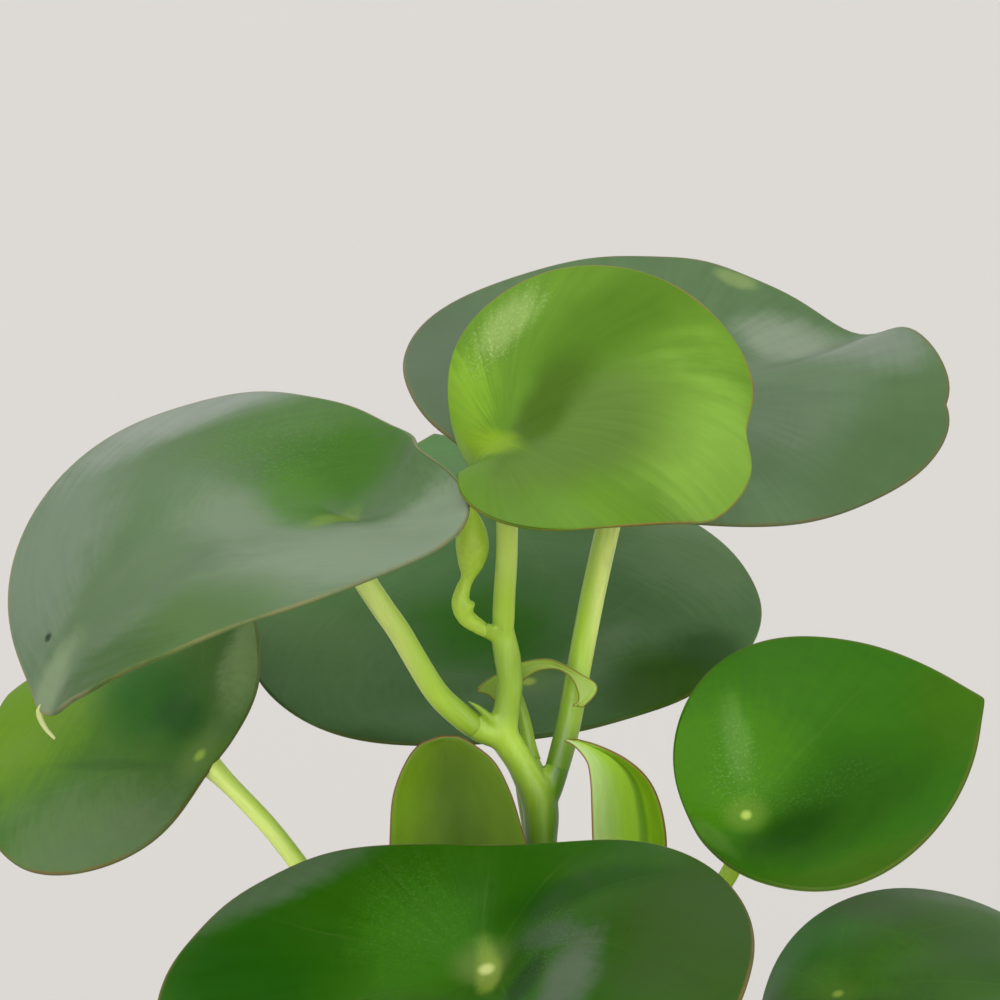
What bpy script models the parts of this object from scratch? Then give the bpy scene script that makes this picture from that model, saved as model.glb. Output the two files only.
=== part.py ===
"""Raindrop peperomia in a plain pot: construction of every separate body.

Millimetre numbers at the top, metres in the scene. The origin is the centre
of the pot's base on the ground, +Z is up and -Y is the front of the plant.
"""
import math

import bmesh
import bpy
import numpy as np
from mathutils import Vector
from mathutils.bvhtree import BVHTree

MM = 0.001
GAP = 0.3                 # clear gap between neighbouring bodies
CAST_GAP = 0.6            # gap measured along a slanting leaf stalk

# Pot, soil and main stem
POT_HEIGHT = 105.0
POT_BASE_R = 42.0
POT_TOP_R = 58.5
POT_RIM_R = 61.0
POT_RIM_HEIGHT = 20.0
POT_WALL = 4.0
POT_FLOOR = 5.0
POT_LIP = 5.6             # rim radius less the radius of the mouth
POT_FOOT_ROUND = 2.0      # height of the slope between the inner wall and the floor
POT_SIDES = 48
SOIL_TOP = 94.0
SOIL_MOUND = 3.0
SOIL_RINGS = (0.25, 0.5, 0.75, 1.0)
SOIL_LUMPS = ((3, 1.1, 9.0), (-7, 0.8, 5.0))   # waves round the pot, height, run
STEM_FOOT = 64.0
STEM_CLEAR = 0.5          # soil hole radius less the stem radius
STEM_SIDES = 12
STALK_SIDES = 8

# Main stem: (x, y, z, radius). It kinks a little at each upper node.
STEM = [
    (0.8, 2.0, 64.0, 3.1), (0.8, 2.0, 97.0, 3.1), (0.9, 1.2, 115.0, 3.0),
    (0.7, 1.0, 134.0, 3.0), (0.3, 0.0, 155.0, 2.9), (-0.1, 0.0, 169.5, 2.8),
    (-0.3, 0.0, 177.5, 3.1), (-3.4, 0.0, 184.5, 2.5), (-6.4, 0.0, 189.8, 2.6),
    (-5.7, 0.0, 194.8, 2.25), (-5.3, 0.0, 199.0, 2.2), (-5.8, 0.0, 203.2, 2.3),
    (-6.5, 0.0, 207.0, 2.1),
]

# Peltate leaves. Each blade hangs on its stalk like a shallow umbrella:
#   at        where the stalk meets the blade
#   turn      heading of the tip, rise of the tip, lift of the left edge
#   size      length and width of the flattened blade
#   foot      share of the length that lies behind the stalk
#   taper     how teardrop-like the outline is
#   ends      drip tip length, notch at the foot of the blade
#   inner     slope near the stalk towards tip, left, foot, right
#   outer     slope at the margin towards tip, left, foot, right
#   skew      diagonal part of the inner and of the outer slope
#   wave      three-fold margin wave: degrees, phase
#   ripple    four-fold margin wave: degrees
#   bend      how late the outer slope takes over
#   lift      local lift of the margin: direction, spread, degrees
LEAVES = {
    "leaf_01": dict(at=(-32.7, -9.4, 228.2), turn=(199, 19, 1), size=(82, 94.5), foot=0.22,
                    taper=0.0, ends=(1.2, -1.3), inner=(-1, 10, 42, 24),
                    outer=(-80, -2, 71, 26), skew=(0, 4), wave=(-9, -5), ripple=1.5, bend=0.92),
    "leaf_02": dict(at=(16.9, 35.0, 241.5), turn=(5, -4, 15), size=(98, 82), foot=0.42,
                    taper=0.77, ends=(-2.8, 0.2), inner=(0, 7, 7, 7),
                    outer=(-11, 18, -6, -22), skew=(3, 10), wave=(-3, -10), bend=1.18,
                    lift=(9, 11, 32)),
    "leaf_03": dict(at=(-6.1, -12.8, 241.7), turn=(-5, 43, 16), size=(59, 54.5), foot=0.21,
                    taper=0.16, ends=(-3.2, 4.2), inner=(2, 36, 26, 12),
                    outer=(-75, 10, -16, -43), skew=(10, 35), wave=(-15, 65), ripple=11,
                    bend=0.9),
    "leaf_04": dict(at=(-2.0, 33.0, 190.0), turn=(102, 14, -8), size=(100.5, 92), foot=0.19,
                    taper=0.62, ends=(1, 0), inner=(14, 6, 5, 10),
                    outer=(0, -3, -3, -11), skew=(0, 1)),
    "leaf_05": dict(at=(-58.2, 16.5, 181.3), turn=(127, -2, -45), size=(72.5, 63), foot=0.13,
                    taper=0.61, ends=(-0.5, 5.8), inner=(5, 0, -3, 8),
                    outer=(-5, 18, -27, 16), skew=(-2, 0), wave=(-7, -95)),
    "leaf_06": dict(at=(-9.0, -48.5, 163.0), turn=(-100, -27, 7), size=(102.5, 102),
                    foot=0.27, taper=0.45, ends=(1, 4), inner=(28, 48, 28, 27),
                    outer=(-3, -23, 9, -1), skew=(0, 2)),
    "leaf_07": dict(at=(33.3, -26.4, 182.6), turn=(10, 18, 41), size=(53, 56.5), foot=0.2,
                    taper=0.42, ends=(1, 1.8), inner=(7, 7, 7, 8),
                    outer=(15, 7, 8, 47), skew=(2, 5), wave=(-4, 120), bend=0.73),
    "leaf_08": dict(at=(49.0, -23.5, 151.0), turn=(-27, 4, 22), size=(93.5, 78.5), foot=0.22,
                    taper=0.59, ends=(1, 2), inner=(0, 5, 3, 6),
                    outer=(-47, -20, -58, -15), skew=(0, -19)),
}

# Lower leaves that close the plant over the pot on the sides and at the back
LEAVES.update({
    "leaf_13": dict(at=(32.0, 42.0, 118.0), turn=(52, -14, 0), size=(78, 68), foot=0.28,
                    taper=0.6, ends=(2, 2), inner=(8, 8, 10, 8),
                    outer=(-22, -16, -8, -16), skew=(0, 3)),
    "leaf_14": dict(at=(-26.0, 46.0, 119.0), turn=(128, -12, 0), size=(82, 72), foot=0.28,
                    taper=0.6, ends=(2, 2), inner=(8, 8, 10, 8),
                    outer=(-20, -14, -8, -18), skew=(0, -3)),
    "leaf_15": dict(at=(-50.0, 10.0, 124.0), turn=(180, -18, -4), size=(70, 62), foot=0.28,
                    taper=0.6, ends=(2, 2), inner=(8, 8, 10, 8),
                    outer=(-24, -16, -8, -14), skew=(0, 2)),
    "leaf_16": dict(at=(52.0, 12.0, 122.0), turn=(4, -16, 4), size=(72, 64), foot=0.28,
                    taper=0.6, ends=(2, 2), inner=(8, 8, 10, 8),
                    outer=(-24, -14, -8, -16), skew=(0, -2)),
    "leaf_17": dict(at=(-40.0, -34.0, 127.0), turn=(222, -18, 4), size=(66, 58), foot=0.28,
                    taper=0.6, ends=(2, 2), inner=(8, 8, 10, 8),
                    outer=(-22, -16, -8, -16), skew=(0, 2)),
    "leaf_18": dict(at=(30.0, -42.0, 120.0), turn=(-52, -20, 0), size=(60, 53), foot=0.28,
                    taper=0.6, ends=(2, 2), inner=(8, 8, 10, 8),
                    outer=(-22, -16, -8, -16), skew=(0, 2)),
    "leaf_19": dict(at=(4.0, 34.0, 136.0), turn=(78, -6, 0), size=(58, 52), foot=0.28,
                    taper=0.6, ends=(2, 2), inner=(8, 8, 10, 8),
                    outer=(-20, -14, -8, -16), skew=(0, 2)),
})

# Stalks: centre line from the axis of the stem to the blade, the length that
# stays fused to the stem, and the radius at foot, middle and blade.
STALKS = {
    "leaf_01": ([(-6.4, 0, 189.2), (-10.4, -0.5, 190.7), (-14.4, -2, 194.1), (-17.7, -3.5, 197.9),
                 (-21.0, -5.5, 203.9), (-23.9, -7, 209.4), (-26.9, -8, 214.1), (-30.2, -9, 220.0)],
                5.8, (2.3, 2.0, 1.9)),
    "leaf_02": ([(0.3, 0, 177.4), (1.9, 1.0, 181.0), (4.5, 4, 190.1), (6.6, 9, 200.3),
                 (9.0, 15, 211.2), (11.5, 21, 221.0), (14.4, 29, 232.0)],
                7.5, (2.1, 2.1, 2.1)),
    "leaf_03": ([(-6.5, 0, 206.5), (-6.3, -1.9, 213.4), (-5.9, -5, 220.9), (-5.8, -8.2, 227.9),
                 (-5.9, -11, 234.4)],
                2.8, (1.95, 1.8, 1.8)),
    "leaf_04": ([(0.2, 0.5, 154.0), (-0.5, 6, 161.0), (-1.2, 13, 168.6), (-2.4, 20, 175.0),
                 (-2.8, 26.5, 180.5), (-2.4, 31, 185.3)],
                7.0, (2.2, 1.9, 1.9)),
    "leaf_05": ([(0.9, 1.2, 112.0), (-5.0, 2, 115.2), (-12.1, 3, 124.1), (-24.1, 4.5, 139.9),
                 (-33.5, 6.5, 153.6), (-41.2, 8.5, 164.2), (-46.3, 10.2, 170.5),
                 (-51.5, 12.4, 175.6)],
                7.0, (2.2, 1.7, 1.6)),
    "leaf_06": ([(1.0, 1.0, 119.0), (0.4, -5, 123.0), (-1.0, -14, 132.0), (-4.0, -27, 143.0),
                 (-7.0, -38, 150.5), (-8.6, -45, 156.5)],
                6.0, (2.3, 2.1, 2.1)),
    "leaf_07": ([(0.7, 0.8, 126.0), (5.0, -3, 131.0), (10.8, -7, 138.4), (20.6, -13, 153.2),
                 (27.0, -18, 164.6), (30.6, -21, 171.0), (32.4, -23.6, 176.4)],
                6.0, (2.1, 1.7, 1.5)),
    "leaf_08": ([(0.9, 1.0, 107.0), (7.0, -2, 110.6), (18.0, -7.5, 119.5), (31.0, -14, 131.0),
                 (41.5, -19.5, 139.5), (46.8, -22.3, 145.0)],
                8.0, (2.2, 2.0, 2.0)),
    "leaf_09": ([(0.4, 0.3, 146.0), (-3.2, -1.0, 149.4), (-7.2, -1.4, 154.8), (-10.6, -2.3, 160.0),
                 (-12.2, -4.2, 162.8)],
                6.5, (1.5, 1.3, 1.2)),
    "leaf_10": ([(0.4, 0.1, 149.5), (4.2, 0.8, 153.0), (8.8, 1.8, 158.0), (12.2, 1.4, 162.4),
                 (13.6, 0.0, 164.8)],
                6.5, (1.5, 1.2, 1.1)),
    "leaf_13": ([(1.1, 1.2, 102.0), (6.0, 8, 103.6), (15.0, 21, 107.0), (24.0, 34, 111.4)],
                8.0, (2.0, 1.8, 1.7)),
    "leaf_14": ([(1.1, 1.2, 108.0), (-3.0, 8, 110.4), (-11.0, 22, 112.0), (-20.5, 36.5, 113.8)],
                9.0, (2.0, 1.8, 1.7)),
    "leaf_15": ([(1.0, 1.2, 103.0), (-7.0, 2.6, 104.6), (-22.0, 5, 109.0), (-40.0, 8, 116.4)],
                9.0, (2.0, 1.8, 1.7)),
    "leaf_16": ([(0.9, 1.2, 114.5), (7.0, 2.8, 116.0), (22.0, 6, 117.6), (42.0, 10, 117.8)],
                8.0, (2.0, 1.8, 1.7)),
    "leaf_17": ([(0.8, 1.0, 130.0), (-4.0, -3, 130.6), (-16.0, -13, 128.6), (-31.0, -26, 122.6)],
                8.5, (1.9, 1.7, 1.6)),
    "leaf_18": ([(0.9, 1.2, 101.5), (4.4, -5, 103.0), (12.5, -18, 108.0), (23.0, -33.5, 113.4)],
                8.0, (1.9, 1.7, 1.6)),
    "leaf_19": ([(0.9, 0.9, 121.5), (1.4, 6, 123.0), (2.2, 17, 126.6), (3.2, 27.5, 130.6)],
                6.0, (1.8, 1.6, 1.6)),
}

# Young folded leaves: rows of (height, left x, right x, depth of left edge,
# depth of the fold, depth of the right edge)
YOUNG = {
    "leaf_09": [(191.6, -16.9, -13.9, -9.0, -8.8, -9.0), (190.3, -20.4, -11.6, -9.6, -8.2, -9.0),
                (187.2, -22.8, -8.0, -10.4, -7.2, -9.0), (182.0, -24.7, -5.4, -11.0, -6.2, -8.8),
                (176.0, -25.2, -3.6, -11.4, -5.9, -8.4), (170.0, -25.2, -2.2, -11.6, -6.0, -8.2),
                (164.0, -24.2, -2.4, -11.4, -6.6, -8.4), (159.5, -21.0, -5.2, -10.8, -7.6, -8.8),
                (157.0, -16.9, -9.5, -9.8, -8.8, -9.4)],
    "leaf_10": [(190.3, 3.9, 6.0, -6.4, -6.2, -6.2), (189.3, 5.7, 9.4, -7.0, -6.0, -6.2),
                (187.0, 7.6, 14.0, -8.0, -5.2, -6.4), (184.0, 8.2, 17.4, -8.8, -4.2, -6.8),
                (180.0, 8.4, 19.5, -9.2, -3.2, -7.2), (174.0, 8.6, 20.7, -9.2, -2.6, -7.4),
                (168.0, 9.0, 20.5, -8.8, -2.6, -7.0), (163.0, 10.2, 18.6, -7.8, -3.2, -6.2),
                (159.5, 12.4, 15.8, -5.8, -4.6, -5.2)],
}
YOUNG_FOLD = {"leaf_09": 0.45, "leaf_10": 0.70}

# Small leaf that hooks over behind the stem: pairs of edge points
HOOK = [
    ((-10.6, 3.0, 196.9), (-10.6, 3.0, 196.4)), ((-9.1, 5.0, 197.8), (-9.1, 5.0, 195.4)),
    ((-7.4, 6.5, 198.5), (-7.4, 6.5, 193.8)), ((-5.4, 6.5, 199.8), (-5.4, 6.5, 195.4)),
    ((-3.4, 6.0, 200.6), (-3.4, 6.0, 197.4)), ((-0.7, 5.5, 201.2), (-0.7, 5.5, 199.4)),
    ((1.6, 4.5, 201.4), (2.3, 4.5, 200.0)), ((4.3, 3.0, 200.6), (4.3, 3.0, 199.5)),
    ((6.6, 2.0, 199.5), (5.5, 2.0, 198.4)), ((9.0, 1.2, 198.1), (6.2, 1.2, 196.8)),
    ((8.9, 0.6, 196.5), (6.3, 0.6, 195.4)), ((6.9, 0.2, 194.4), (5.4, 0.2, 194.6)),
]
HOOK_STALK = [(-0.3, 0.4, 178.0, 1.9), (-0.7, 2.6, 182.0, 1.4), (-1.9, 4.4, 186.0, 1.2),
              (-2.9, 5.6, 190.5, 1.15), (-4.2, 6.4, 194.5, 1.1), (-5.2, 6.5, 197.0, 0.9)]
HOOK_STUB = 7.0
HOOK_THICK = 0.8
HOOK_BULGE = 0.5

# Twisted youngest leaf on the left of the top node: centre line and radius
TWIST = [(-6.5, 0, 206.3, 1.2), (-8.7, -1, 207.4, 1.2), (-10.7, -2, 208.9, 1.3),
         (-12.7, -2.5, 210.6, 1.5), (-13.6, -3, 213.0, 1.5), (-13.2, -3, 215.3, 1.25),
         (-12.4, -3, 217.4, 1.15), (-11.9, -3, 219.6, 2.1), (-11.6, -3, 222.5, 2.75),
         (-11.8, -3, 225.5, 2.5), (-12.2, -3, 228.0, 1.6), (-12.7, -3, 230.2, 0.5)]
TWIST_STUB = 4.9

# Buds in the leaf axils, fused to the stem: (x, y, z, radius)
BUDS = [
    [(-6.8, -0.4, 190.6, 1.1), (-8.4, -1.6, 192.6, 0.9), (-10.6, -2.4, 194.9, 0.6),
     (-12.6, -3.0, 196.4, 0.2)],
    [(-7.0, -0.9, 207.2, 0.6), (-8.5, -2.5, 208.9, 0.4), (-9.3, -3.6, 210.4, 0.15)],
]

BLADE_THICK = 1.4
MARGIN_THICK = 0.9
NAVEL = 5.0
NAVEL_SEAT = 0.15         # extra gap under a navel, where the blade slopes
STALK_CLEAR = 4.5         # last free ring of a stalk stays this far from the navel
STEPS = 40
RINGS = (4, 13, 22, 31, 40)
SPOKES_BIG = 28
SPOKES_SMALL = 22
BIG_LEAVES = [f"leaf_0{number}" for number in range(1, 9)]
YOUNG_COLUMNS = 7
STALK_STEP = 7.0
STEM_STEP = 4.0
BUD_STEP = 2.5
TWIST_STEP = 2.0
SLIM_SIDES = 6

# Linear base colour and roughness of each material
COLOURS = {
    "blade": ((0.035, 0.135, 0.022), 0.3), "young": ((0.16, 0.36, 0.03), 0.35),
    "stalk": ((0.36, 0.55, 0.08), 0.35), "stem": ((0.20, 0.40, 0.05), 0.4),
    "soil": ((0.035, 0.022, 0.014), 0.95), "pot": ((0.62, 0.60, 0.56), 0.35),
}


def clear_scene():
    for obj in list(bpy.data.objects):
        bpy.data.objects.remove(obj, do_unlink=True)


def material(name, colour, rough=0.5):
    mat = bpy.data.materials.get(name) or bpy.data.materials.new(name)
    mat.use_nodes = True
    shader = mat.node_tree.nodes["Principled BSDF"]
    shader.inputs["Base Color"].default_value = (*colour, 1.0)
    shader.inputs["Roughness"].default_value = rough
    return mat


def add_object(name, verts, faces, mat, smooth=True):
    """Object from vertices in millimetres."""
    mesh = bpy.data.meshes.new(name)
    mesh.from_pydata([tuple(float(c) * MM for c in v) for v in verts], [], faces)
    mesh.validate()
    bm = bmesh.new()
    bm.from_mesh(mesh)
    bmesh.ops.recalc_face_normals(bm, faces=bm.faces)
    if bm.calc_volume(signed=True) < 0:
        bmesh.ops.reverse_faces(bm, faces=bm.faces)
    bm.to_mesh(mesh)
    bm.free()
    mesh.materials.append(mat)
    for poly in mesh.polygons:
        poly.use_smooth = smooth
    obj = bpy.data.objects.new(name, mesh)
    bpy.context.scene.collection.objects.link(obj)
    return obj


def lathe(profile, sides):
    """Turned body from rings of (radius, height), capped flat at both ends."""
    verts, faces = [], []
    for r, z in profile:
        for i in range(sides):
            a = 2 * math.pi * i / sides
            verts.append((r * math.cos(a), r * math.sin(a), z))
    for k in range(len(profile) - 1):
        for i in range(sides):
            j = (i + 1) % sides
            low, high = k * sides, (k + 1) * sides
            faces.append((low + i, low + j, high + j, high + i))
    faces.append(tuple(range(sides)))
    faces.append(tuple((len(profile) - 1) * sides + i for i in range(sides)))
    return verts, faces


def smooth_line(points, step):
    """Catmull-Rom line through (x, y, z, radius) points, with its run in three more columns."""
    pts = np.array(points, float)
    ext = np.vstack([2 * pts[0] - pts[1], pts, 2 * pts[-1] - pts[-2]])
    out = []
    for i in range(1, len(ext) - 2):
        p0, p1, p2, p3 = ext[i - 1:i + 3]
        n = max(1, int(round(np.linalg.norm((p2 - p1)[:3]) / step)))
        for t in np.arange(n) / n:
            out.append(0.5 * (2 * p1 + (p2 - p0) * t + (2 * p0 - 5 * p1 + 4 * p2 - p3) * t ** 2
                              + (3 * p1 - p0 - 3 * p2 + p3) * t ** 3))
    out.append(pts[-1])
    out = np.array(out)
    return np.column_stack([out, np.gradient(out[:, :3], axis=0)])


def ring_frames(line):
    """Tangent and two cross directions along a line, carried without twist."""
    tang = line[:, 4:7] / np.linalg.norm(line[:, 4:7], axis=1, keepdims=True)
    side = np.cross(tang[0], (0.0, 1.0, 0.0))
    if np.linalg.norm(side) < 0.2:
        side = np.cross(tang[0], (1.0, 0.0, 0.0))
    frames = []
    for t in tang:
        side = side - t * (side @ t)
        side /= np.linalg.norm(side)
        frames.append((t, side, np.cross(t, side)))
    return frames


def tube_rings(line, sides):
    rings = []
    for p, (t, a, b) in zip(line, ring_frames(line)):
        ring = [p[:3] + p[3] * (math.cos(w) * a + math.sin(w) * b)
                for w in (2 * math.pi * i / sides for i in range(sides))]
        rings.append(np.array(ring))
    return rings


def tube_mesh(rings):
    """Closed tube with flat ends from rings of points."""
    sides = len(rings[0])
    verts = [v for ring in rings for v in ring]
    faces = []
    for k in range(len(rings) - 1):
        for i in range(sides):
            j = (i + 1) % sides
            faces.append((k * sides + i, k * sides + j, (k + 1) * sides + j, (k + 1) * sides + i))
    faces.append(tuple(range(sides)))
    last = (len(rings) - 1) * sides
    faces.append(tuple(last + i for i in range(sides)))
    return verts, faces


def cut_line(line, start=None, end=None):
    """Part of a line between two arc lengths."""
    length = np.concatenate([[0], np.cumsum(np.linalg.norm(np.diff(line[:, :3], axis=0), axis=1))])
    start = 0.0 if start is None else start
    end = length[-1] if end is None else end
    keep = [s for s in length if start + 0.4 < s < end - 0.4]
    stops = [start] + keep + [end]
    return np.array([[np.interp(s, length, line[:, c]) for c in range(line.shape[1])]
                     for s in stops])


def turn_matrix(heading, rise, lift):
    h, p, r = (math.radians(v) for v in (heading, rise, lift))
    rz = np.array([[math.cos(h), -math.sin(h), 0], [math.sin(h), math.cos(h), 0], [0, 0, 1]])
    ry = np.array([[math.cos(p), 0, -math.sin(p)], [0, 1, 0], [math.sin(p), 0, math.cos(p)]])
    rx = np.array([[1, 0, 0], [0, math.cos(r), -math.sin(r)], [0, math.sin(r), math.cos(r)]])
    return rz @ ry @ rx


def outline(leaf, psi):
    """Flat teardrop outline measured from the stalk."""
    (length, width), m = leaf["size"], leaf["taper"]
    tip, notch = leaf["ends"]
    grid = np.linspace(0.01, math.pi - 0.01, 400)
    scale = (np.sin(grid) * np.sin(grid / 2) ** m).max()
    half = np.maximum(np.abs(np.sin(psi / 2)), 1e-6)
    around = np.minimum(psi, 2 * math.pi - psi)
    x = length * (0.5 + 0.5 * np.cos(psi)) - leaf["foot"] * length
    x = x + tip * np.exp(-(around / 0.22) ** 2)
    x = x + notch * np.exp(-((math.pi - around) / 0.35) ** 2)
    y = 0.5 * width * np.sin(psi) * half ** m / scale
    return x, y


def compass(values, phi, skew):
    """Slope in any direction from the slopes towards tip, left, foot and right."""
    tip, left, foot, right = values
    return ((tip + left + foot + right) / 4 + (tip - foot) / 2 * np.cos(phi)
            + (left - right) / 2 * np.sin(phi)
            + (tip + foot - left - right) / 4 * np.cos(2 * phi) + skew * np.sin(2 * phi))


def blade_surface(leaf, spokes, rings):
    """Middle surface of a blade: rings x spokes points, and its navel."""
    psi = np.linspace(0, 2 * math.pi, spokes, endpoint=False)
    x, y = outline(leaf, psi)
    phi, reach = np.arctan2(y, x), np.hypot(x, y)
    inner = compass(leaf["inner"], phi, leaf["skew"][0])
    outer = compass(leaf["outer"], phi, leaf["skew"][1])
    wave, phase = leaf.get("wave", (0, 0))
    outer = outer + wave * np.cos(3 * phi - math.radians(phase))
    outer = outer + leaf.get("ripple", 0) * np.sin(4 * phi)
    where, spread, lift = leaf.get("lift", (0, 10, 0))
    outer = outer + lift * np.exp(-((np.degrees(phi) - where) / spread) ** 2)
    u = (np.arange(STEPS) + 0.5)[:, None] / STEPS
    late = u ** leaf.get("bend", 1.2)
    flat = np.clip(u * reach / NAVEL, 0, 1)
    flat = flat * flat * (3 - 2 * flat)
    slope = np.radians(inner * flat * (1 - late) + outer * late * flat)
    out = np.vstack([np.zeros(spokes), np.cumsum(np.cos(slope) * reach / STEPS, axis=0)])
    rise = np.vstack([np.zeros(spokes), np.cumsum(np.sin(slope) * reach / STEPS, axis=0)])
    local = np.stack([out * np.cos(phi), out * np.sin(phi), rise], axis=-1)[list(rings)]
    turn = turn_matrix(*leaf["turn"])
    at = np.array(leaf["at"], float)
    return local @ turn.T + at, at, turn[:, 2]


def blade_mesh(grid, centre, normal):
    """Solid blade: the same triangles above and below, joined round the margin."""
    rings, spokes = grid.shape[:2]
    full = np.concatenate([np.broadcast_to(centre, (1, spokes, 3)), grid])
    radial = np.gradient(full, axis=0)[1:]
    around = np.roll(grid, -1, axis=1) - np.roll(grid, 1, axis=1)
    normals = np.cross(radial, around)
    normals /= np.linalg.norm(normals, axis=2, keepdims=True)
    if (normals[0] @ normal).mean() < 0:
        normals = -normals
    half = np.linspace(BLADE_THICK, MARGIN_THICK, rings)[:, None, None] / 2
    verts, faces, start = [], [], []
    for sign in (1, -1):
        start.append(len(verts))
        verts.append(centre + sign * normal * BLADE_THICK / 2)
        verts.extend((grid + sign * normals * half).reshape(-1, 3))
    for side, base in enumerate(start):
        for j in range(spokes):
            k = (j + 1) % spokes
            tris = [(0, 1 + j, 1 + k)]
            for i in range(rings - 1):
                a, b = 1 + i * spokes + j, 1 + i * spokes + k
                c, d = a + spokes, b + spokes
                tris += [(a, c, d), (a, d, b)]
            for t in tris:
                t = t if side == 0 else t[::-1]
                faces.append(tuple(base + v for v in t))
    edge = 1 + (rings - 1) * spokes
    for j in range(spokes):
        k = (j + 1) % spokes
        a, b = start[0] + edge + j, start[0] + edge + k
        c, d = start[1] + edge + j, start[1] + edge + k
        faces += [(a, c, d), (a, d, b)]
    return verts, faces


def sheet_mesh(grid, thick):
    """Solid sheet from rows x columns of points."""
    rows, cols = grid.shape[:2]
    normals = np.cross(np.gradient(grid, axis=0), np.gradient(grid, axis=1))
    normals /= np.linalg.norm(normals, axis=2, keepdims=True)
    size = rows * cols
    verts = list((grid + normals * thick / 2).reshape(-1, 3))
    verts += list((grid - normals * thick / 2).reshape(-1, 3))
    faces = []
    for i in range(rows - 1):
        for j in range(cols - 1):
            a, b = i * cols + j, i * cols + j + 1
            c, d = a + cols, b + cols
            faces += [(a, b, d), (a, d, c), (size + a, size + d, size + b),
                      (size + a, size + c, size + d)]
    rim = [j for j in range(cols)] + [i * cols + cols - 1 for i in range(1, rows)]
    rim += [(rows - 1) * cols + j for j in range(cols - 2, -1, -1)]
    rim += [i * cols for i in range(rows - 2, 0, -1)]
    for a, b in zip(rim, rim[1:] + rim[:1]):
        faces += [(a, b, size + b), (a, size + b, size + a)]
    return verts, faces


def young_grid(rows, fold, cols):
    """Rows of a folded young leaf: straight heights, depth bent over the fold."""
    share = np.linspace(0, 1, cols)
    share = np.sort(np.append(share[np.abs(share - fold) > 0.5 / (cols - 1)], fold))
    grid = []
    for z, left, right, y0, y1, y2 in rows:
        before = np.clip(1 - share / fold, 0, 1) ** 1.6
        after = np.clip((share - fold) / (1 - fold), 0, 1) ** 1.6
        y = y1 + (y0 - y1) * before + (y2 - y1) * after
        grid.append(np.stack([left + (right - left) * share, y, np.full_like(share, z)], -1))
    return np.array(grid)


def last_run(rings):
    run = rings[-1].mean(axis=0) - rings[-2].mean(axis=0)
    return run / np.linalg.norm(run)


def seat_on_navel(rings, centre, normal):
    """Cut the stalk flat, parallel to the navel of its blade and a gap below it."""
    run = last_run(rings)
    plane = centre - normal * (BLADE_THICK / 2 + GAP + NAVEL_SEAT)
    rings[-1] = np.array([p + run * ((plane - p) @ normal) / (run @ normal) for p in rings[-2]])
    return rings


def seat_on_sheet(name, rings, tree):
    """Run the stalk up to the back of a folded blade and stop a gap short of it."""
    run = last_run(rings)
    hits = [tree.ray_cast(Vector(p), Vector(run)) for p in rings[-2]]
    if any(hit[0] is None for hit in hits):
        raise ValueError(f"{name}: stalk misses its blade")
    rings[-1] = rings[-2] + run * (min(hit[3] for hit in hits) - CAST_GAP)
    return rings


def with_radius(points, radii):
    pts = np.array(points, float)
    length = np.concatenate([[0], np.cumsum(np.linalg.norm(np.diff(pts, axis=0), axis=1))])
    r = np.interp(length / length[-1], [0, 0.35, 1], radii)
    return np.column_stack([pts, r])


def fuse(target, name, verts, faces):
    """Union with a hidden helper body."""
    tool = add_object(name, verts, faces, target.data.materials[0])
    tool.hide_render = True
    tool.display_type = "WIRE"
    mod = target.modifiers.new(name, "BOOLEAN")
    mod.operation = "UNION"
    mod.solver = "EXACT"
    mod.object = tool


def pot_inner_radius(z):
    """Radius of the inner wall at a height, from the floor to the mouth."""
    low = (POT_BASE_R - POT_WALL, POT_FLOOR + POT_FOOT_ROUND)
    high = (POT_RIM_R - POT_LIP, POT_HEIGHT - POT_FOOT_ROUND)
    return low[0] + (high[0] - low[0]) * (z - low[1]) / (high[1] - low[1])


def make_pot(mat):
    """One turned body with a plain rim and a closed flat base."""
    rim_foot = POT_HEIGHT - POT_RIM_HEIGHT
    profile = [
        (POT_BASE_R - POT_WALL - POT_FOOT_ROUND, POT_FLOOR),
        (POT_BASE_R - POT_WALL, POT_FLOOR + POT_FOOT_ROUND),
        (POT_RIM_R - POT_LIP, POT_HEIGHT - POT_FOOT_ROUND),
        (POT_RIM_R - POT_LIP + 1.4, POT_HEIGHT), (POT_RIM_R - 1.6, POT_HEIGHT),
        (POT_RIM_R, POT_HEIGHT - 2.0), (POT_RIM_R - 0.6, rim_foot + 0.6),
        (POT_TOP_R - 1.4, rim_foot), (POT_BASE_R, 1.0), (POT_BASE_R - 1.0, 0.0),
    ]
    return add_object("pot", *lathe(profile, POT_SIDES), mat)


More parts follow.
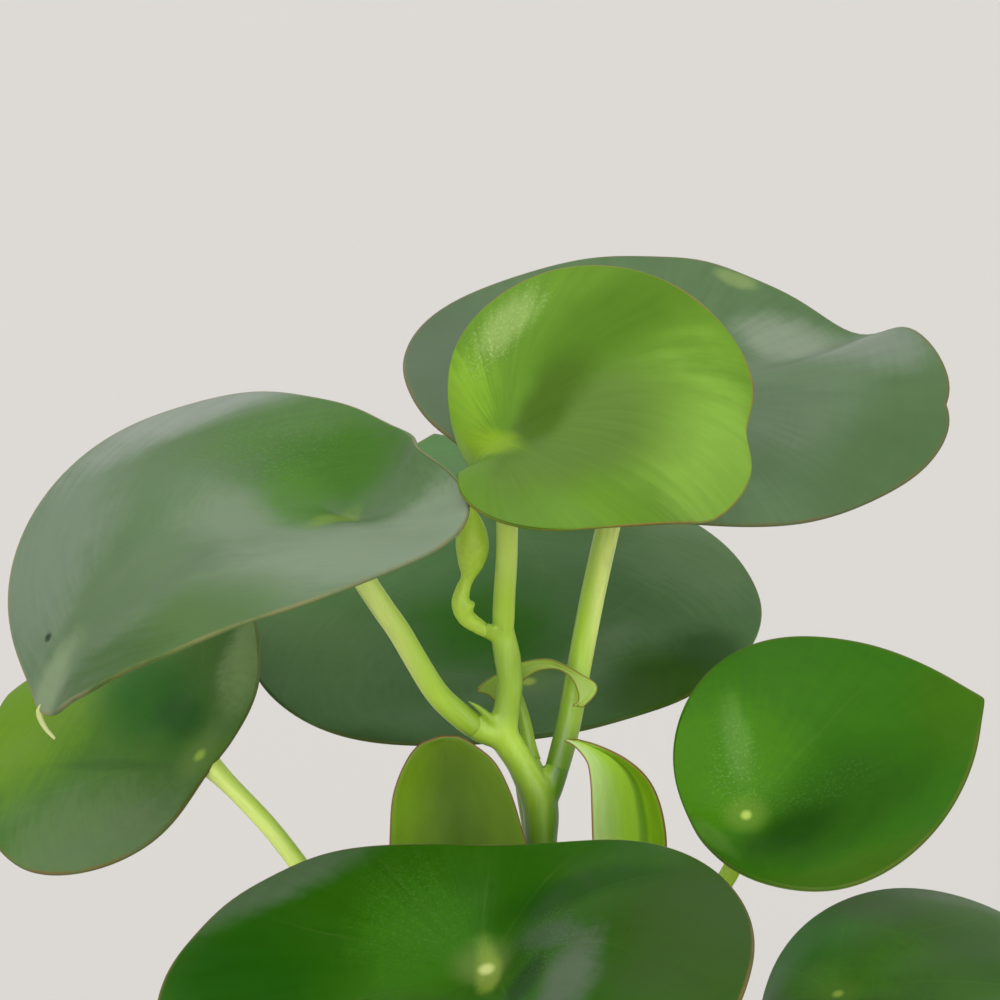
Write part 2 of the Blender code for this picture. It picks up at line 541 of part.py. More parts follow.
def make_soil(mat):
    """A filled plug, slightly heaped, with a plain hole where the stem stands."""
    inset = math.cos(math.pi / POT_SIDES)      # a faceted wall is this much nearer the axis
    hole_r = STEM[0][3] + STEM_CLEAR
    rings = [(hole_r, STEM_FOOT - GAP), (hole_r, SOIL_TOP + SOIL_MOUND)]
    reach = pot_inner_radius(SOIL_TOP) * inset - GAP
    for share in SOIL_RINGS:
        rings.append((reach * share, SOIL_TOP + SOIL_MOUND * (1 - share) ** 0.8))
    low = POT_FLOOR + POT_FOOT_ROUND + 0.5
    rings.append((pot_inner_radius(low) * inset - GAP, low))
    rings.append((POT_BASE_R - POT_WALL - POT_FOOT_ROUND - GAP, POT_FLOOR + GAP))
    verts, faces = lathe(rings, POT_SIDES)
    verts = np.array(verts)
    hole, top = slice(0, 2 * POT_SIDES), slice(2 * POT_SIDES, 5 * POT_SIDES)
    verts[hole, :2] += STEM[0][:2]
    r, a = np.hypot(verts[top, 0], verts[top, 1]), np.arctan2(verts[top, 1], verts[top, 0])
    for waves, height, run in SOIL_LUMPS:
        verts[top, 2] += height * np.sin(abs(waves) * a + math.copysign(1, waves) * r / run)
    return add_object("soil", verts, faces, mat)


def make_stem(mat):
    """Main stem with its two axil buds; the feet of the stalks are fused on later."""
    stem = add_object("stem", *tube_mesh(tube_rings(smooth_line(STEM, STEM_STEP), STEM_SIDES)), mat)
    for number, bud in enumerate(BUDS):
        fuse(stem, f"fuse_bud_{number}",
             *tube_mesh(tube_rings(smooth_line(bud, BUD_STEP), SLIM_SIDES)))
    return stem


def make_blades(mats):
    """All blades; returns the navel of each peltate leaf and the faces of each folded one."""
    navels, trees = {}, {}
    for name, leaf in LEAVES.items():
        spokes = SPOKES_BIG if name in BIG_LEAVES else SPOKES_SMALL
        grid, centre, normal = blade_surface(leaf, spokes, RINGS)
        slot = "young" if name == "leaf_03" else "blade"
        add_object(f"{name}_blade", *blade_mesh(grid, centre, normal), mats[slot])
        navels[name] = (centre, normal)
    for name, rows in YOUNG.items():
        grid = young_grid(rows, YOUNG_FOLD[name], YOUNG_COLUMNS)
        verts, faces = sheet_mesh(grid, MARGIN_THICK)
        add_object(f"{name}_blade", verts, faces, mats["young"])
        trees[name] = BVHTree.FromPolygons([tuple(v) for v in verts], faces)
    return navels, trees


def make_stalk(name, stem, navels, trees, mat):
    """The foot is fused to the stem, the rest is a body of its own up to the blade."""
    points, stub, radii = STALKS[name]
    if name in LEAVES:
        points = points + [LEAVES[name]["at"]]
    else:
        run = np.array(points[-1]) - np.array(points[-2])
        points = points + [tuple(np.array(points[-1]) + run * 0.9)]
    line = smooth_line(with_radius(points, radii), STALK_STEP)
    if name != "leaf_03":                      # this stalk continues the end of the stem
        foot = tube_rings(cut_line(line, 0, stub), STALK_SIDES)
        fuse(stem, f"fuse_{name}", *tube_mesh(foot))
    rings = tube_rings(cut_line(line, stub + GAP), STALK_SIDES)
    if name in LEAVES:
        centre, normal = navels[name]
        far = [ring for ring in rings if np.linalg.norm(ring.mean(axis=0) - centre) > STALK_CLEAR]
        rings = seat_on_navel(far + [rings[-1]], centre, normal)
    else:
        rings = seat_on_sheet(name, rings, trees[name])
    add_object(f"{name}_stalk", *tube_mesh(rings), mat)


def make_hooked_leaf(stem, mat):
    """Small folded leaf whose blade and stalk are one body."""
    grid = []
    for upper, lower in HOOK:
        upper, lower = np.array(upper), np.array(lower)
        grid.append([upper + (lower - upper) * s + np.array([0, HOOK_BULGE * math.sin(math.pi * s), 0])
                     for s in (0.0, 0.5, 1.0)])
    leaf = add_object("leaf_11", *sheet_mesh(np.array(grid), HOOK_THICK), mat)
    line = smooth_line(HOOK_STALK, STEM_STEP)
    stalk = tube_rings(cut_line(line, HOOK_STUB + GAP), SLIM_SIDES)
    fuse(leaf, "fuse_hook", *tube_mesh(stalk))
    foot = tube_rings(cut_line(line, 0, HOOK_STUB), SLIM_SIDES)
    fuse(stem, "fuse_leaf_11", *tube_mesh(foot))


def make_twisted_leaf(stem, mat):
    """Youngest leaf, still rolled up, on a short stalk of the same body."""
    line = smooth_line(TWIST, TWIST_STEP)
    leaf = tube_rings(cut_line(line, TWIST_STUB + GAP), STALK_SIDES)
    add_object("leaf_12", *tube_mesh(leaf), mat)
    foot = tube_rings(cut_line(line, 0, TWIST_STUB), STALK_SIDES)
    fuse(stem, "fuse_leaf_12", *tube_mesh(foot))


clear_scene()
mats = {name: material(name, colour, rough) for name, (colour, rough) in COLOURS.items()}
make_pot(mats["pot"])
make_soil(mats["soil"])
main_stem = make_stem(mats["stem"])
navel_of, sheet_of = make_blades(mats)
for leaf_name in STALKS:
    make_stalk(leaf_name, main_stem, navel_of, sheet_of, mats["stalk"])
make_hooked_leaf(main_stem, mats["young"])
make_twisted_leaf(main_stem, mats["young"])
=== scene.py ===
# %% [markdown]
# # A raindrop peperomia, dressed leaf by leaf
#
# The plant's solids are already packed at their real size. This script keeps their places
# and gives every one of them its living surface: thin rounded blades, juicy stalks that grow
# smoothly out of the stem, loose potting soil and a plain ceramic pot.
#
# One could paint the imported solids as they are, but their facets would show. Here each solid
# is replaced by a finer mesh that is computed from the same few dimensions, so that the fine
# piece lies exactly where the solid lies.

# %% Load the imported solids
import math

import bmesh
import bpy
import numpy as np
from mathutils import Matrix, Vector, noise


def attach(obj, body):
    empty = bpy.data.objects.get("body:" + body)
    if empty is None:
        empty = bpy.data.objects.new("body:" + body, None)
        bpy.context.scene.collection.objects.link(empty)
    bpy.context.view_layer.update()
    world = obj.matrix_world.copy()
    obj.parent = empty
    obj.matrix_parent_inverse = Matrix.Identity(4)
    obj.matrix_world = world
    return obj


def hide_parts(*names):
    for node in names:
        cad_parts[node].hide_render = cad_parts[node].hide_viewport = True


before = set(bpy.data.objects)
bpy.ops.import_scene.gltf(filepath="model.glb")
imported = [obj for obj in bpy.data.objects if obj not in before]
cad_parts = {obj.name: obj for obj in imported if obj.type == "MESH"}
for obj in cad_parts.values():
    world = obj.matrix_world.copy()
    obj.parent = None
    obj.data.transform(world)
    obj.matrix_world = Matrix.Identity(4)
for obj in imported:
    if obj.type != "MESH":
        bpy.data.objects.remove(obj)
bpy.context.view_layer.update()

MM = 0.001
scene = bpy.context.scene

# %% [markdown]
# ## The camera
#
# The plant is seen almost level, from a little above, through a long lens that keeps the
# leaves nearly free of perspective. A tracked camera would need a constraint; a plain rotation
# about X is enough, because the view runs straight along +Y and only tips down.

# %% Camera
VIEW_TARGET = Vector((-0.007, 0.0, 0.230))
VIEW_DISTANCE = 0.85
VIEW_DROP = math.radians(12)
LENS_MM = 183.6

camera_data = bpy.data.cameras.new("plant_view")
camera_data.lens = LENS_MM
camera_data.sensor_width = 36.0
camera = bpy.data.objects.new("plant_view", camera_data)
camera.location = VIEW_TARGET + VIEW_DISTANCE * Vector((0, -math.cos(VIEW_DROP), math.sin(VIEW_DROP)))
camera.rotation_euler = (math.pi / 2 - VIEW_DROP, 0, 0)
scene.collection.objects.link(camera)
scene.camera = camera
print("camera at", [round(c, 3) for c in camera.location])

# %% [markdown]
# ## Nodes without tangles
#
# A shader is a graph, and a graph written out call by call is long. This small helper adds a
# node, sets or links its sockets in one line and hands back the node, so that each material
# below reads from top to bottom like a recipe.


# %% Node helper
class Recipe:
    """Adds nodes to one node tree."""

    def __init__(self, tree):
        self.tree = tree

    def put(self, kind, sockets=None, **settings):
        made = self.tree.nodes.new(kind)
        for key, value in settings.items():
            setattr(made, key, value)
        for key, value in (sockets or {}).items():
            if isinstance(value, bpy.types.NodeSocket):
                self.tree.links.new(value, made.inputs[key])
            else:
                made.inputs[key].default_value = value
        return made

    def math(self, operation, *values, clamp=False):
        sockets = dict(enumerate(values))
        return self.put("ShaderNodeMath", sockets, operation=operation, use_clamp=clamp).outputs[0]

    def blend(self, mask, first, second, how="MIX"):
        """Colour mix: sockets 0, 6 and 7 are the factor and the two colours."""
        pair = {0: mask, 6: rgba(first), 7: rgba(second)}
        return self.put("ShaderNodeMix", pair, data_type="RGBA", blend_type=how).outputs[2]

    def step(self, value, low, high, out_low=0.0, out_high=1.0):
        """Smooth step of a value between two limits."""
        sockets = {"Value": value, "From Min": low, "From Max": high,
                   "To Min": out_low, "To Max": out_high}
        return self.put("ShaderNodeMapRange", sockets, interpolation_type="SMOOTHSTEP").outputs[0]

    def noise(self, where, scale, detail=3.0, rough=0.5):
        sockets = {"Vector": where, "Scale": scale, "Detail": detail, "Roughness": rough}
        return self.put("ShaderNodeTexNoise", sockets).outputs["Fac"]


def rgba(colour):
    """Plain RGB gets an alpha; a socket is passed through."""
    return (*colour, 1.0) if isinstance(colour, (tuple, list)) and len(colour) == 3 else colour


def new_group(name, inputs, outputs):
    """Empty shader group; each socket is (name, kind, default)."""
    tree = bpy.data.node_groups.new(name, "ShaderNodeTree")
    for direction, sockets in (("INPUT", inputs), ("OUTPUT", outputs)):
        for label, kind, default in sockets:
            socket = tree.interface.new_socket(label, in_out=direction, socket_type="NodeSocket" + kind)
            if default is not None:
                socket.default_value = default
    recipe = Recipe(tree)
    return recipe, recipe.put("NodeGroupInput").outputs, recipe.put("NodeGroupOutput").inputs


def new_material(name):
    """Material with its Principled shader at hand."""
    made = bpy.data.materials.new(name)
    made.use_nodes = True
    nodes = made.node_tree.nodes
    return made, Recipe(made.node_tree), nodes["Principled BSDF"], nodes["Material Output"]


def feed(recipe, value, socket):
    """Link a socket, or set a constant on the shader's own socket."""
    if isinstance(value, bpy.types.NodeSocket):
        recipe.tree.links.new(value, socket)
    else:
        socket.default_value = value


print("helper ready")

# %% [markdown]
# ## Floor and light
#
# The plant stands in a pale studio under one huge light box, which hangs above it and reaches
# to the back. Glossy leaves show what they mirror as much as their own green: a blade that
# tips to the box turns silvery, one that mirrors its neighbours stays dark. Here the leaves are
# only faintly glossy, and most of that silver and dark is painted into their colour as painted
# sheen and painted shade. A sky whose brightness grows with height stands for the box, a bright
# patch of sky behind the camera reaches the stalks below the leaves, and a weak sun with a very
# wide disc adds direction. Area lamps would do it too, but they would light the wide floor
# unevenly.

# %% Floor, sky and lamp
FLOOR_RADIUS = 6.0
FLOOR_COLOUR = (0.489, 0.473, 0.454)
SKY_LOW = (0.85, 0.845, 0.835)
SKY_HIGH = (1.25, 1.25, 1.235)
SKY_EDGE = (0.25, 0.75)           # the box begins and is full at these heights, as sines
SKY_FRONT = (2.5, 2.5, 2.47)
SUN_STRENGTH = 1.3
SUN_DISC = math.radians(45)
SUN_TURN = (math.radians(50), 0.0, math.radians(-20))

floor_mesh = bpy.data.meshes.new("studio_floor")
shape = bmesh.new()
bmesh.ops.create_circle(shape, cap_ends=True, segments=96, radius=FLOOR_RADIUS)
shape.to_mesh(floor_mesh)
shape.free()
floor = bpy.data.objects.new("studio_floor", floor_mesh)
scene.collection.objects.link(floor)
floor_paint, recipe, shader, _ = new_material("studio_floor")
where = recipe.put("ShaderNodeTexCoord").outputs["Object"]
grain = recipe.noise(where, 3.0, 2.0)
feed(recipe, recipe.blend(grain, FLOOR_COLOUR, tuple(c * 0.995 for c in FLOOR_COLOUR)),
     shader.inputs["Base Color"])
shader.inputs["Roughness"].default_value = 0.95
shader.inputs["Specular IOR Level"].default_value = 0.0
floor_mesh.materials.append(floor_paint)

world = bpy.data.worlds.new("studio")
world.use_nodes = True
recipe = Recipe(world.node_tree)
direction = recipe.put("ShaderNodeTexCoord").outputs["Generated"]
_, ahead, height = recipe.put("ShaderNodeSeparateXYZ", {0: direction}).outputs
glow = recipe.blend(recipe.step(height, *SKY_EDGE), SKY_LOW, SKY_HIGH)
front = recipe.math("MULTIPLY", recipe.step(ahead, -0.85, -0.35, 1.0, 0.0),
                    recipe.step(height, 0.2, 0.6, 1.0, 0.0))
glow = recipe.blend(front, glow, SKY_FRONT)
feed(recipe, glow, world.node_tree.nodes["Background"].inputs["Color"])
scene.world = world
scene.view_settings.view_transform = "Standard"

sun_data = bpy.data.lights.new("light_box", "SUN")
sun_data.energy = SUN_STRENGTH
sun_data.angle = SUN_DISC
sun = bpy.data.objects.new("light_box", sun_data)
sun.rotation_euler = SUN_TURN
scene.collection.objects.link(sun)
print("floor radius", FLOOR_RADIUS, "m")

# %% [markdown]
# ## What every leaf has
#
# A peperomia blade is a shield: its stalk meets it inside the blade, at the navel, and the
# main veins run out from there like spokes. One shader group draws all of that from two
# attributes stored on the mesh: `spot`, the place on the flattened blade in millimetres with
# the side of the blade as its third number, and `share`, which runs from 0 at the navel to 1
# at the margin. An image could hold the same marks, but a formula stays sharp at any distance.

# %% Leaf marks group
MAIN_VEINS = 9

recipe, given, result = new_group(
    "Leaf marks",
    [("Spot", "Vector", None), ("Share", "Float", 0.0), ("Vein Width", "Float", 0.5),
     ("Navel Radius", "Float", 3.0), ("Rim From", "Float", 0.985), ("Seed", "Float", 0.0),
     ("Ray Share", "Float", 0.25)],
    [("Mottle", "Float", None), ("Veins", "Float", None), ("Streaks", "Float", None),
     ("Navel", "Float", None), ("Glow", "Float", None), ("Rim", "Float", None),
     ("Cells", "Float", None), ("Height", "Float", None)])
parts = recipe.put("ShaderNodeSeparateXYZ", {0: given["Spot"]}).outputs
flat = recipe.put("ShaderNodeCombineXYZ", {0: parts[0], 1: parts[1], 2: given["Seed"]}).outputs[0]
radius = recipe.math("SQRT", recipe.math("ADD", recipe.math("POWER", parts[0], 2.0),
                                         recipe.math("POWER", parts[1], 2.0)))
angle = recipe.math("ARCTAN2", parts[1], parts[0])
wander = recipe.noise(flat, 0.03, 1.0)
bent = recipe.math("MULTIPLY_ADD", wander, 0.5, angle)
swing = recipe.math("ABSOLUTE", recipe.math("SINE", recipe.math("MULTIPLY", bent, MAIN_VEINS / 2)))
gap = recipe.math("MULTIPLY", recipe.math("MULTIPLY", swing, radius), 2 / MAIN_VEINS)
vein = recipe.step(gap, 0.0, given["Vein Width"], 1.0, 0.0)
vein = recipe.math("MULTIPLY", vein, recipe.step(given["Share"], 0.06, 0.25))
vein = recipe.math("MULTIPLY", vein, recipe.step(given["Share"], 0.55, 0.97, 1.0, 0.0))
ring_place = recipe.put("ShaderNodeCombineXYZ", {0: recipe.math("MULTIPLY", angle, 2.6),
                                                 1: recipe.math("MULTIPLY", radius, 0.55),
                                                 2: given["Seed"]}).outputs[0]
rings = recipe.noise(ring_place, 1.6, 4.0, 0.6)
ray_place = recipe.put("ShaderNodeCombineXYZ", {0: recipe.math("MULTIPLY", angle, 16.0),
                                                1: recipe.math("MULTIPLY", radius, 0.05),
                                                2: given["Seed"]}).outputs[0]
rays = recipe.noise(ray_place, 1.2, 3.0, 0.6)
cells = recipe.noise(flat, 1.9, 2.0, 0.7)
mottle = recipe.step(recipe.noise(flat, 0.05, 4.0, 0.55), 0.3, 0.7)
for label, value in (("Mottle", mottle), ("Veins", vein), ("Cells", cells)):
    feed(recipe, value, result[label])
feed(recipe, recipe.blend(given["Ray Share"], rings, rays), result["Streaks"])
feed(recipe, recipe.step(radius, recipe.math("MULTIPLY", given["Navel Radius"], 0.25),
                         given["Navel Radius"], 1.0, 0.0), result["Navel"])
feed(recipe, recipe.step(radius, given["Navel Radius"],
                         recipe.math("MULTIPLY", given["Navel Radius"], 4.0), 1.0, 0.0), result["Glow"])
feed(recipe, recipe.step(given["Share"], given["Rim From"], 1.0), result["Rim"])
relief = recipe.math("MULTIPLY_ADD", cells, 0.05, recipe.math("MULTIPLY", rings, 0.06))
relief = recipe.math("MULTIPLY_ADD", rays, 0.05, relief)
relief = recipe.math("MULTIPLY_ADD", vein, -0.05, relief)
feed(recipe, relief, result["Height"])
print("group", recipe.tree.name, "nodes", len(recipe.tree.nodes))

# %% [markdown]
# ## Patches
#
# No leaf looks green all over. Grey-green patches are painted sheen, the reflection of the light
# box that a tipped blade shows; darker patches are painted shade where folds, funnels and
# neighbouring leaves hide the light; small bright ones are painted highlights, and a few, such as
# a dark fleck, are the leaf's own marks. Each of these is a soft oval in blade space. Painting
# them by hand would need an image for every leaf; a small group that turns a place, a reach and
# a turn into a mask does it with six numbers.

# %% Patch group
recipe, given, result = new_group(
    "Patch", [("Spot", "Vector", None), ("Streaks", "Float", 0.5), ("Along", "Float", 0.0),
              ("Across", "Float", 0.0), ("Reach", "Float", 10.0), ("Stretch", "Float", 1.0),
              ("Turn", "Float", 0.0), ("Weight", "Float", 1.0)],
    [("Mask", "Float", None)])
centre = recipe.put("ShaderNodeCombineXYZ", {0: given["Along"], 1: given["Across"]}).outputs[0]
offset = recipe.put("ShaderNodeVectorMath", {0: given["Spot"], 1: centre},
                    operation="SUBTRACT").outputs[0]
turned = recipe.put("ShaderNodeVectorRotate",
                    {"Vector": offset, "Angle": recipe.math("MULTIPLY", given["Turn"], -1.0)},
                    rotation_type="Z_AXIS").outputs[0]
parts = recipe.put("ShaderNodeSeparateXYZ", {0: turned}).outputs
along = recipe.math("DIVIDE", parts[0], given["Reach"])
across = recipe.math("DIVIDE", parts[1], recipe.math("MULTIPLY", given["Reach"], given["Stretch"]))
away = recipe.math("SQRT", recipe.math("ADD", recipe.math("POWER", along, 2.0),
                                       recipe.math("POWER", across, 2.0)))
ragged = recipe.math("MULTIPLY_ADD", recipe.noise(given["Spot"], 0.12, 4.0, 0.6), 0.5, -0.25)
mask = recipe.step(recipe.math("ADD", away, ragged), 0.3, 1.0, 1.0, 0.0)
edge = recipe.math("MULTIPLY", mask, recipe.math("SUBTRACT", 1.0, mask))
brushed = recipe.math("MULTIPLY", recipe.math("SUBTRACT", given["Streaks"], 0.5), 3.5)
mask = recipe.math("MULTIPLY_ADD", edge, brushed, mask, clamp=True)
feed(recipe, recipe.math("MULTIPLY", mask, given["Weight"]), result["Mask"])
print("group", recipe.tree.name, "nodes", len(recipe.tree.nodes))

# %% [markdown]
# ## Leaf skin
#
# A living leaf is not paint on card. Its colour is deep where the tissue is old and thick,
# fresh where it is young, yellow at the navel and thin brown along the margin; light that
# falls on one face comes out faintly on the other. A waxy skin mirrors the studio, only faintly
# here, since the patches paint most of the sheen, the highlights and the shade into the colour.
# So the Principled shader carries colour and gloss, and a share of Translucent lets light
# through. Subsurface scattering would also do that, but it is noisier on a blade a millimetre
# thick.


# %% Leaf skin material
def leaf_skin(name, deep, fresh, back, rim=(0.16, 0.10, 0.035), rim_weight=0.7, navel_radius=2.0,
              navel=(0.34, 0.48, 0.06), glow_weight=0.3, rough=0.36, gloss=0.2, through=0.12,
              vein_weight=0.06, rim_from=0.985, seed=0.0, rays=0.25, shade_sheen_and_marks=(),
              painted_glints=()):
    """Material of one blade. A patch is (along, across, reach, stretch, turn, colour, weight).

    A painted glint is a patch too, but only the raised cells in it take its colour: a painted
    highlight. Most other patches are painted sheen and painted shade, a few the leaf's own marks.
    """
    made, recipe, shader, output = new_material(name)
    spot = recipe.put("ShaderNodeAttribute", attribute_name="spot").outputs["Vector"]
    share = recipe.put("ShaderNodeAttribute", attribute_name="share").outputs["Fac"]
    group = recipe.put("ShaderNodeGroup", node_tree=bpy.data.node_groups["Leaf marks"])
    for socket, value in (("Spot", spot), ("Share", share), ("Seed", seed),
                          ("Navel Radius", navel_radius), ("Rim From", rim_from), ("Ray Share", rays)):
        feed(recipe, value, group.inputs[socket])
    marks = group.outputs
    colour = recipe.blend(marks["Mottle"], deep, fresh)
    pale = tuple(0.6 * c + 0.4 * p for c, p in zip(fresh, navel))
    colour = recipe.blend(recipe.math("MULTIPLY", marks["Veins"], vein_weight), colour, pale)
    fine = recipe.step(marks["Streaks"], 0.3, 0.7, 0.94, 1.06)
    axes = recipe.put("ShaderNodeSeparateXYZ", {0: spot}).outputs
    # raised cells take the painted glints, small painted highlights
    raised = recipe.step(marks["Cells"], 0.52, 0.68)
    # most patches paint sheen and shade onto the blade, a few are the leaf's own marks
    for *place, turn, tint, weight in [*shade_sheen_and_marks, *painted_glints]:
        patch = recipe.put("ShaderNodeGroup", node_tree=bpy.data.node_groups["Patch"])
        values = (spot, marks["Streaks"], *place, math.radians(turn), weight)
        for socket, value in zip(patch.inputs, values):
            feed(recipe, value, socket)
        mask = patch.outputs["Mask"]
        if (*place, turn, tint, weight) in painted_glints:
            mask = recipe.math("MULTIPLY", mask, raised)
        colour = recipe.blend(mask, colour, tint)
    colour = recipe.blend(1.0, colour, recipe.put("ShaderNodeCombineXYZ",
                                                  {0: fine, 1: fine, 2: fine}).outputs[0], "MULTIPLY")
    below = recipe.step(axes[2], -0.6, -0.2, 1.0, 0.0)
    colour = recipe.blend(below, colour, back)
    glow = recipe.math("MULTIPLY", marks["Glow"], glow_weight)
    colour = recipe.blend(glow, colour, pale)
    colour = recipe.blend(marks["Navel"], colour, navel)
    worn = recipe.step(recipe.noise(spot, 0.11, 3.0), 0.34, 0.6, 0.25, 1.0)
    edge = recipe.math("MULTIPLY", recipe.math("MULTIPLY", marks["Rim"], worn), rim_weight)
    colour = recipe.blend(edge, colour, rim)
    feed(recipe, colour, shader.inputs["Base Color"])
    feed(recipe, recipe.step(marks["Streaks"], 0.3, 0.7, rough - 0.05, rough + 0.07),
         shader.inputs["Roughness"])
    shader.inputs["Specular IOR Level"].default_value = gloss
    bump = recipe.put("ShaderNodeBump", {"Height": marks["Height"], "Strength": 0.5,
                                         "Distance": 0.0006}).outputs[0]
    feed(recipe, bump, shader.inputs["Normal"])
    glass = recipe.put("ShaderNodeBsdfTranslucent", {"Normal": bump})
    feed(recipe, recipe.blend(0.35, colour, (0.35, 0.55, 0.02)), glass.inputs["Color"])
    mixed = recipe.put("ShaderNodeMixShader", {0: through, 1: shader.outputs[0], 2: glass.outputs[0]})
    recipe.tree.links.new(mixed.outputs[0], output.inputs["Surface"])
    return made


print("leaf skin ready")

# %% [markdown]
# ## The shape of a blade
#
# Each blade hangs on its stalk like a shallow umbrella. Spokes leave the navel in all
# directions, and every spoke bends from one slope near the stalk to another at the margin.
# A few slopes therefore describe the funnels, droops and folds of a whole leaf, and a subtle
# swell on top keeps the gloss alive. Sculpting each leaf by hand would give freer shapes, but
# it could not be read or changed as numbers.

# %% Blade surface
NAVEL = 5.0
STEPS = 120


def turn_matrix(heading, rise, lift):
    h, p, r = (math.radians(v) for v in (heading, rise, lift))
    rz = np.array([[math.cos(h), -math.sin(h), 0], [math.sin(h), math.cos(h), 0], [0, 0, 1]])
    ry = np.array([[math.cos(p), 0, -math.sin(p)], [0, 1, 0], [math.sin(p), 0, math.cos(p)]])
    rx = np.array([[1, 0, 0], [0, math.cos(r), -math.sin(r)], [0, math.sin(r), math.cos(r)]])
    return rz @ ry @ rx


def outline(leaf, psi):
    """Flat teardrop outline measured from the stalk."""
    (length, width), m = leaf["size"], leaf["taper"]
    tip, notch = leaf["ends"]
    grid = np.linspace(0.01, math.pi - 0.01, 400)
    scale = (np.sin(grid) * np.sin(grid / 2) ** m).max()
    half = np.maximum(np.abs(np.sin(psi / 2)), 1e-6)
    around = np.minimum(psi, 2 * math.pi - psi)
    x = length * (0.5 + 0.5 * np.cos(psi)) - leaf["foot"] * length
    x = x + tip * np.exp(-(around / 0.22) ** 2)
    x = x + notch * np.exp(-((math.pi - around) / 0.35) ** 2)
    return x, 0.5 * width * np.sin(psi) * half ** m / scale


def compass(values, phi, skew):
    """Slope in any direction from the slopes towards tip, left, foot and right."""
    tip, left, foot, right = values
    return ((tip + left + foot + right) / 4 + (tip - foot) / 2 * np.cos(phi)
            + (left - right) / 2 * np.sin(phi)
            + (tip + foot - left - right) / 4 * np.cos(2 * phi) + skew * np.sin(2 * phi))


def spoke_slopes(leaf, phi):
    inner = compass(leaf["inner"], phi, leaf["skew"][0])
    outer = compass(leaf["outer"], phi, leaf["skew"][1])
    wave, phase = leaf.get("wave", (0, 0))
    where, spread, lift = leaf.get("lift", (0, 10, 0))
    outer = outer + wave * np.cos(3 * phi - math.radians(phase))
    outer = outer + leaf.get("ripple", 0) * np.sin(4 * phi)
    return inner, outer + lift * np.exp(-((np.degrees(phi) - where) / spread) ** 2)


def blade_surface(leaf, spokes, shares):
    """Middle surface in mm: points, flat places, the navel and the blade's normal there."""
    psi = np.linspace(0, 2 * math.pi, spokes, endpoint=False)
    x, y = outline(leaf, psi)
    phi, reach = np.arctan2(y, x), np.hypot(x, y)
    inner, outer = spoke_slopes(leaf, phi)
    u = (np.arange(STEPS) + 0.5)[:, None] / STEPS
    late = u ** leaf.get("bend", 1.2)
    flat = np.clip(u * reach / NAVEL, 0, 1)
    flat = flat * flat * (3 - 2 * flat)
    slope = np.radians(inner * flat * (1 - late) + outer * late * flat)
    out = np.vstack([np.zeros(spokes), np.cumsum(np.cos(slope) * reach / STEPS, axis=0)])
    rise = np.vstack([np.zeros(spokes), np.cumsum(np.sin(slope) * reach / STEPS, axis=0)])
    out, rise = out[shares], rise[shares]
    share = np.array(shares)[:, None] / STEPS
    flat_x, flat_y = x * share, y * share
    tone = leaf.get("tone", 1.0)
    fade = np.clip(np.hypot(flat_x, flat_y) / 12, 0, 1) ** 2
    swell = (0.28 * np.sin(flat_x / 7.3 + 2 * tone) * np.sin(flat_y / 8.9 + tone)
             + 0.14 * np.sin(flat_x / 3.7 - flat_y / 4.9 + 3 * tone))
    veins = 0.08 * np.cos(MAIN_VEINS * phi) * np.sin(math.pi * share)
    rise = rise + fade * (swell + veins) * leaf.get("swell", 1.0)
    local = np.stack([out * np.cos(phi), out * np.sin(phi), rise], axis=-1)
    turn = turn_matrix(*leaf["turn"])
    at = np.array(leaf["at"], float)
    return local @ turn.T + at, np.stack([flat_x, flat_y], axis=-1), at, turn[:, 2]


demo_leaf = dict(at=(0, 0, 0), turn=(0, 0, 0), size=(80, 70), foot=0.3, taper=0.5, ends=(1, 1),
                 inner=(8, 8, 8, 8), outer=(-10, -10, -10, -10), skew=(0, 0))
print("a test blade spans", np.ptp(blade_surface(demo_leaf, 90, [STEPS])[0], axis=(0, 1)).round(1), "mm")

# %% [markdown]
# ## From surface to blade
#
# The surface gets an upper and a lower face, half a thickness away on each side, and a round
# margin that joins them. Solidify could do this in one modifier, yet it leaves a square edge;
# a row of small arcs catches the light like the real, slightly swollen margin.


# %% Blade mesh
ARC_STEPS = 6


def make_object(name, verts, faces, material, smooth=True):
    """Object from millimetre points, with its faces pointing out."""
    mesh = bpy.data.meshes.new(name)
    mesh.from_pydata([tuple(v) for v in (np.asarray(verts) * MM).tolist()], [], faces)
    work = bmesh.new()
    work.from_mesh(mesh)
    bmesh.ops.recalc_face_normals(work, faces=work.faces)
    if work.calc_volume(signed=True) < 0:
        bmesh.ops.reverse_faces(work, faces=work.faces)
    work.to_mesh(mesh)
    work.free()
    if smooth:
        mesh.shade_smooth()
    mesh.materials.append(material)
    made = bpy.data.objects.new(name, mesh)
    scene.collection.objects.link(made)
    return made


def add_attribute(thing, name, values):
    """Store one number, or three, on every vertex."""
    values = np.asarray(values, np.float32)
    kind, field = ("FLOAT_VECTOR", "vector") if values.ndim == 2 else ("FLOAT", "value")
    thing.data.attributes.new(name, kind, "POINT").data.foreach_set(field, values.ravel())


def show(piece, slot, *nodes):
    """The piece rides on the pot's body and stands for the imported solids."""
    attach(piece, "root")
    if nodes:
        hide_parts(*nodes)
    return piece


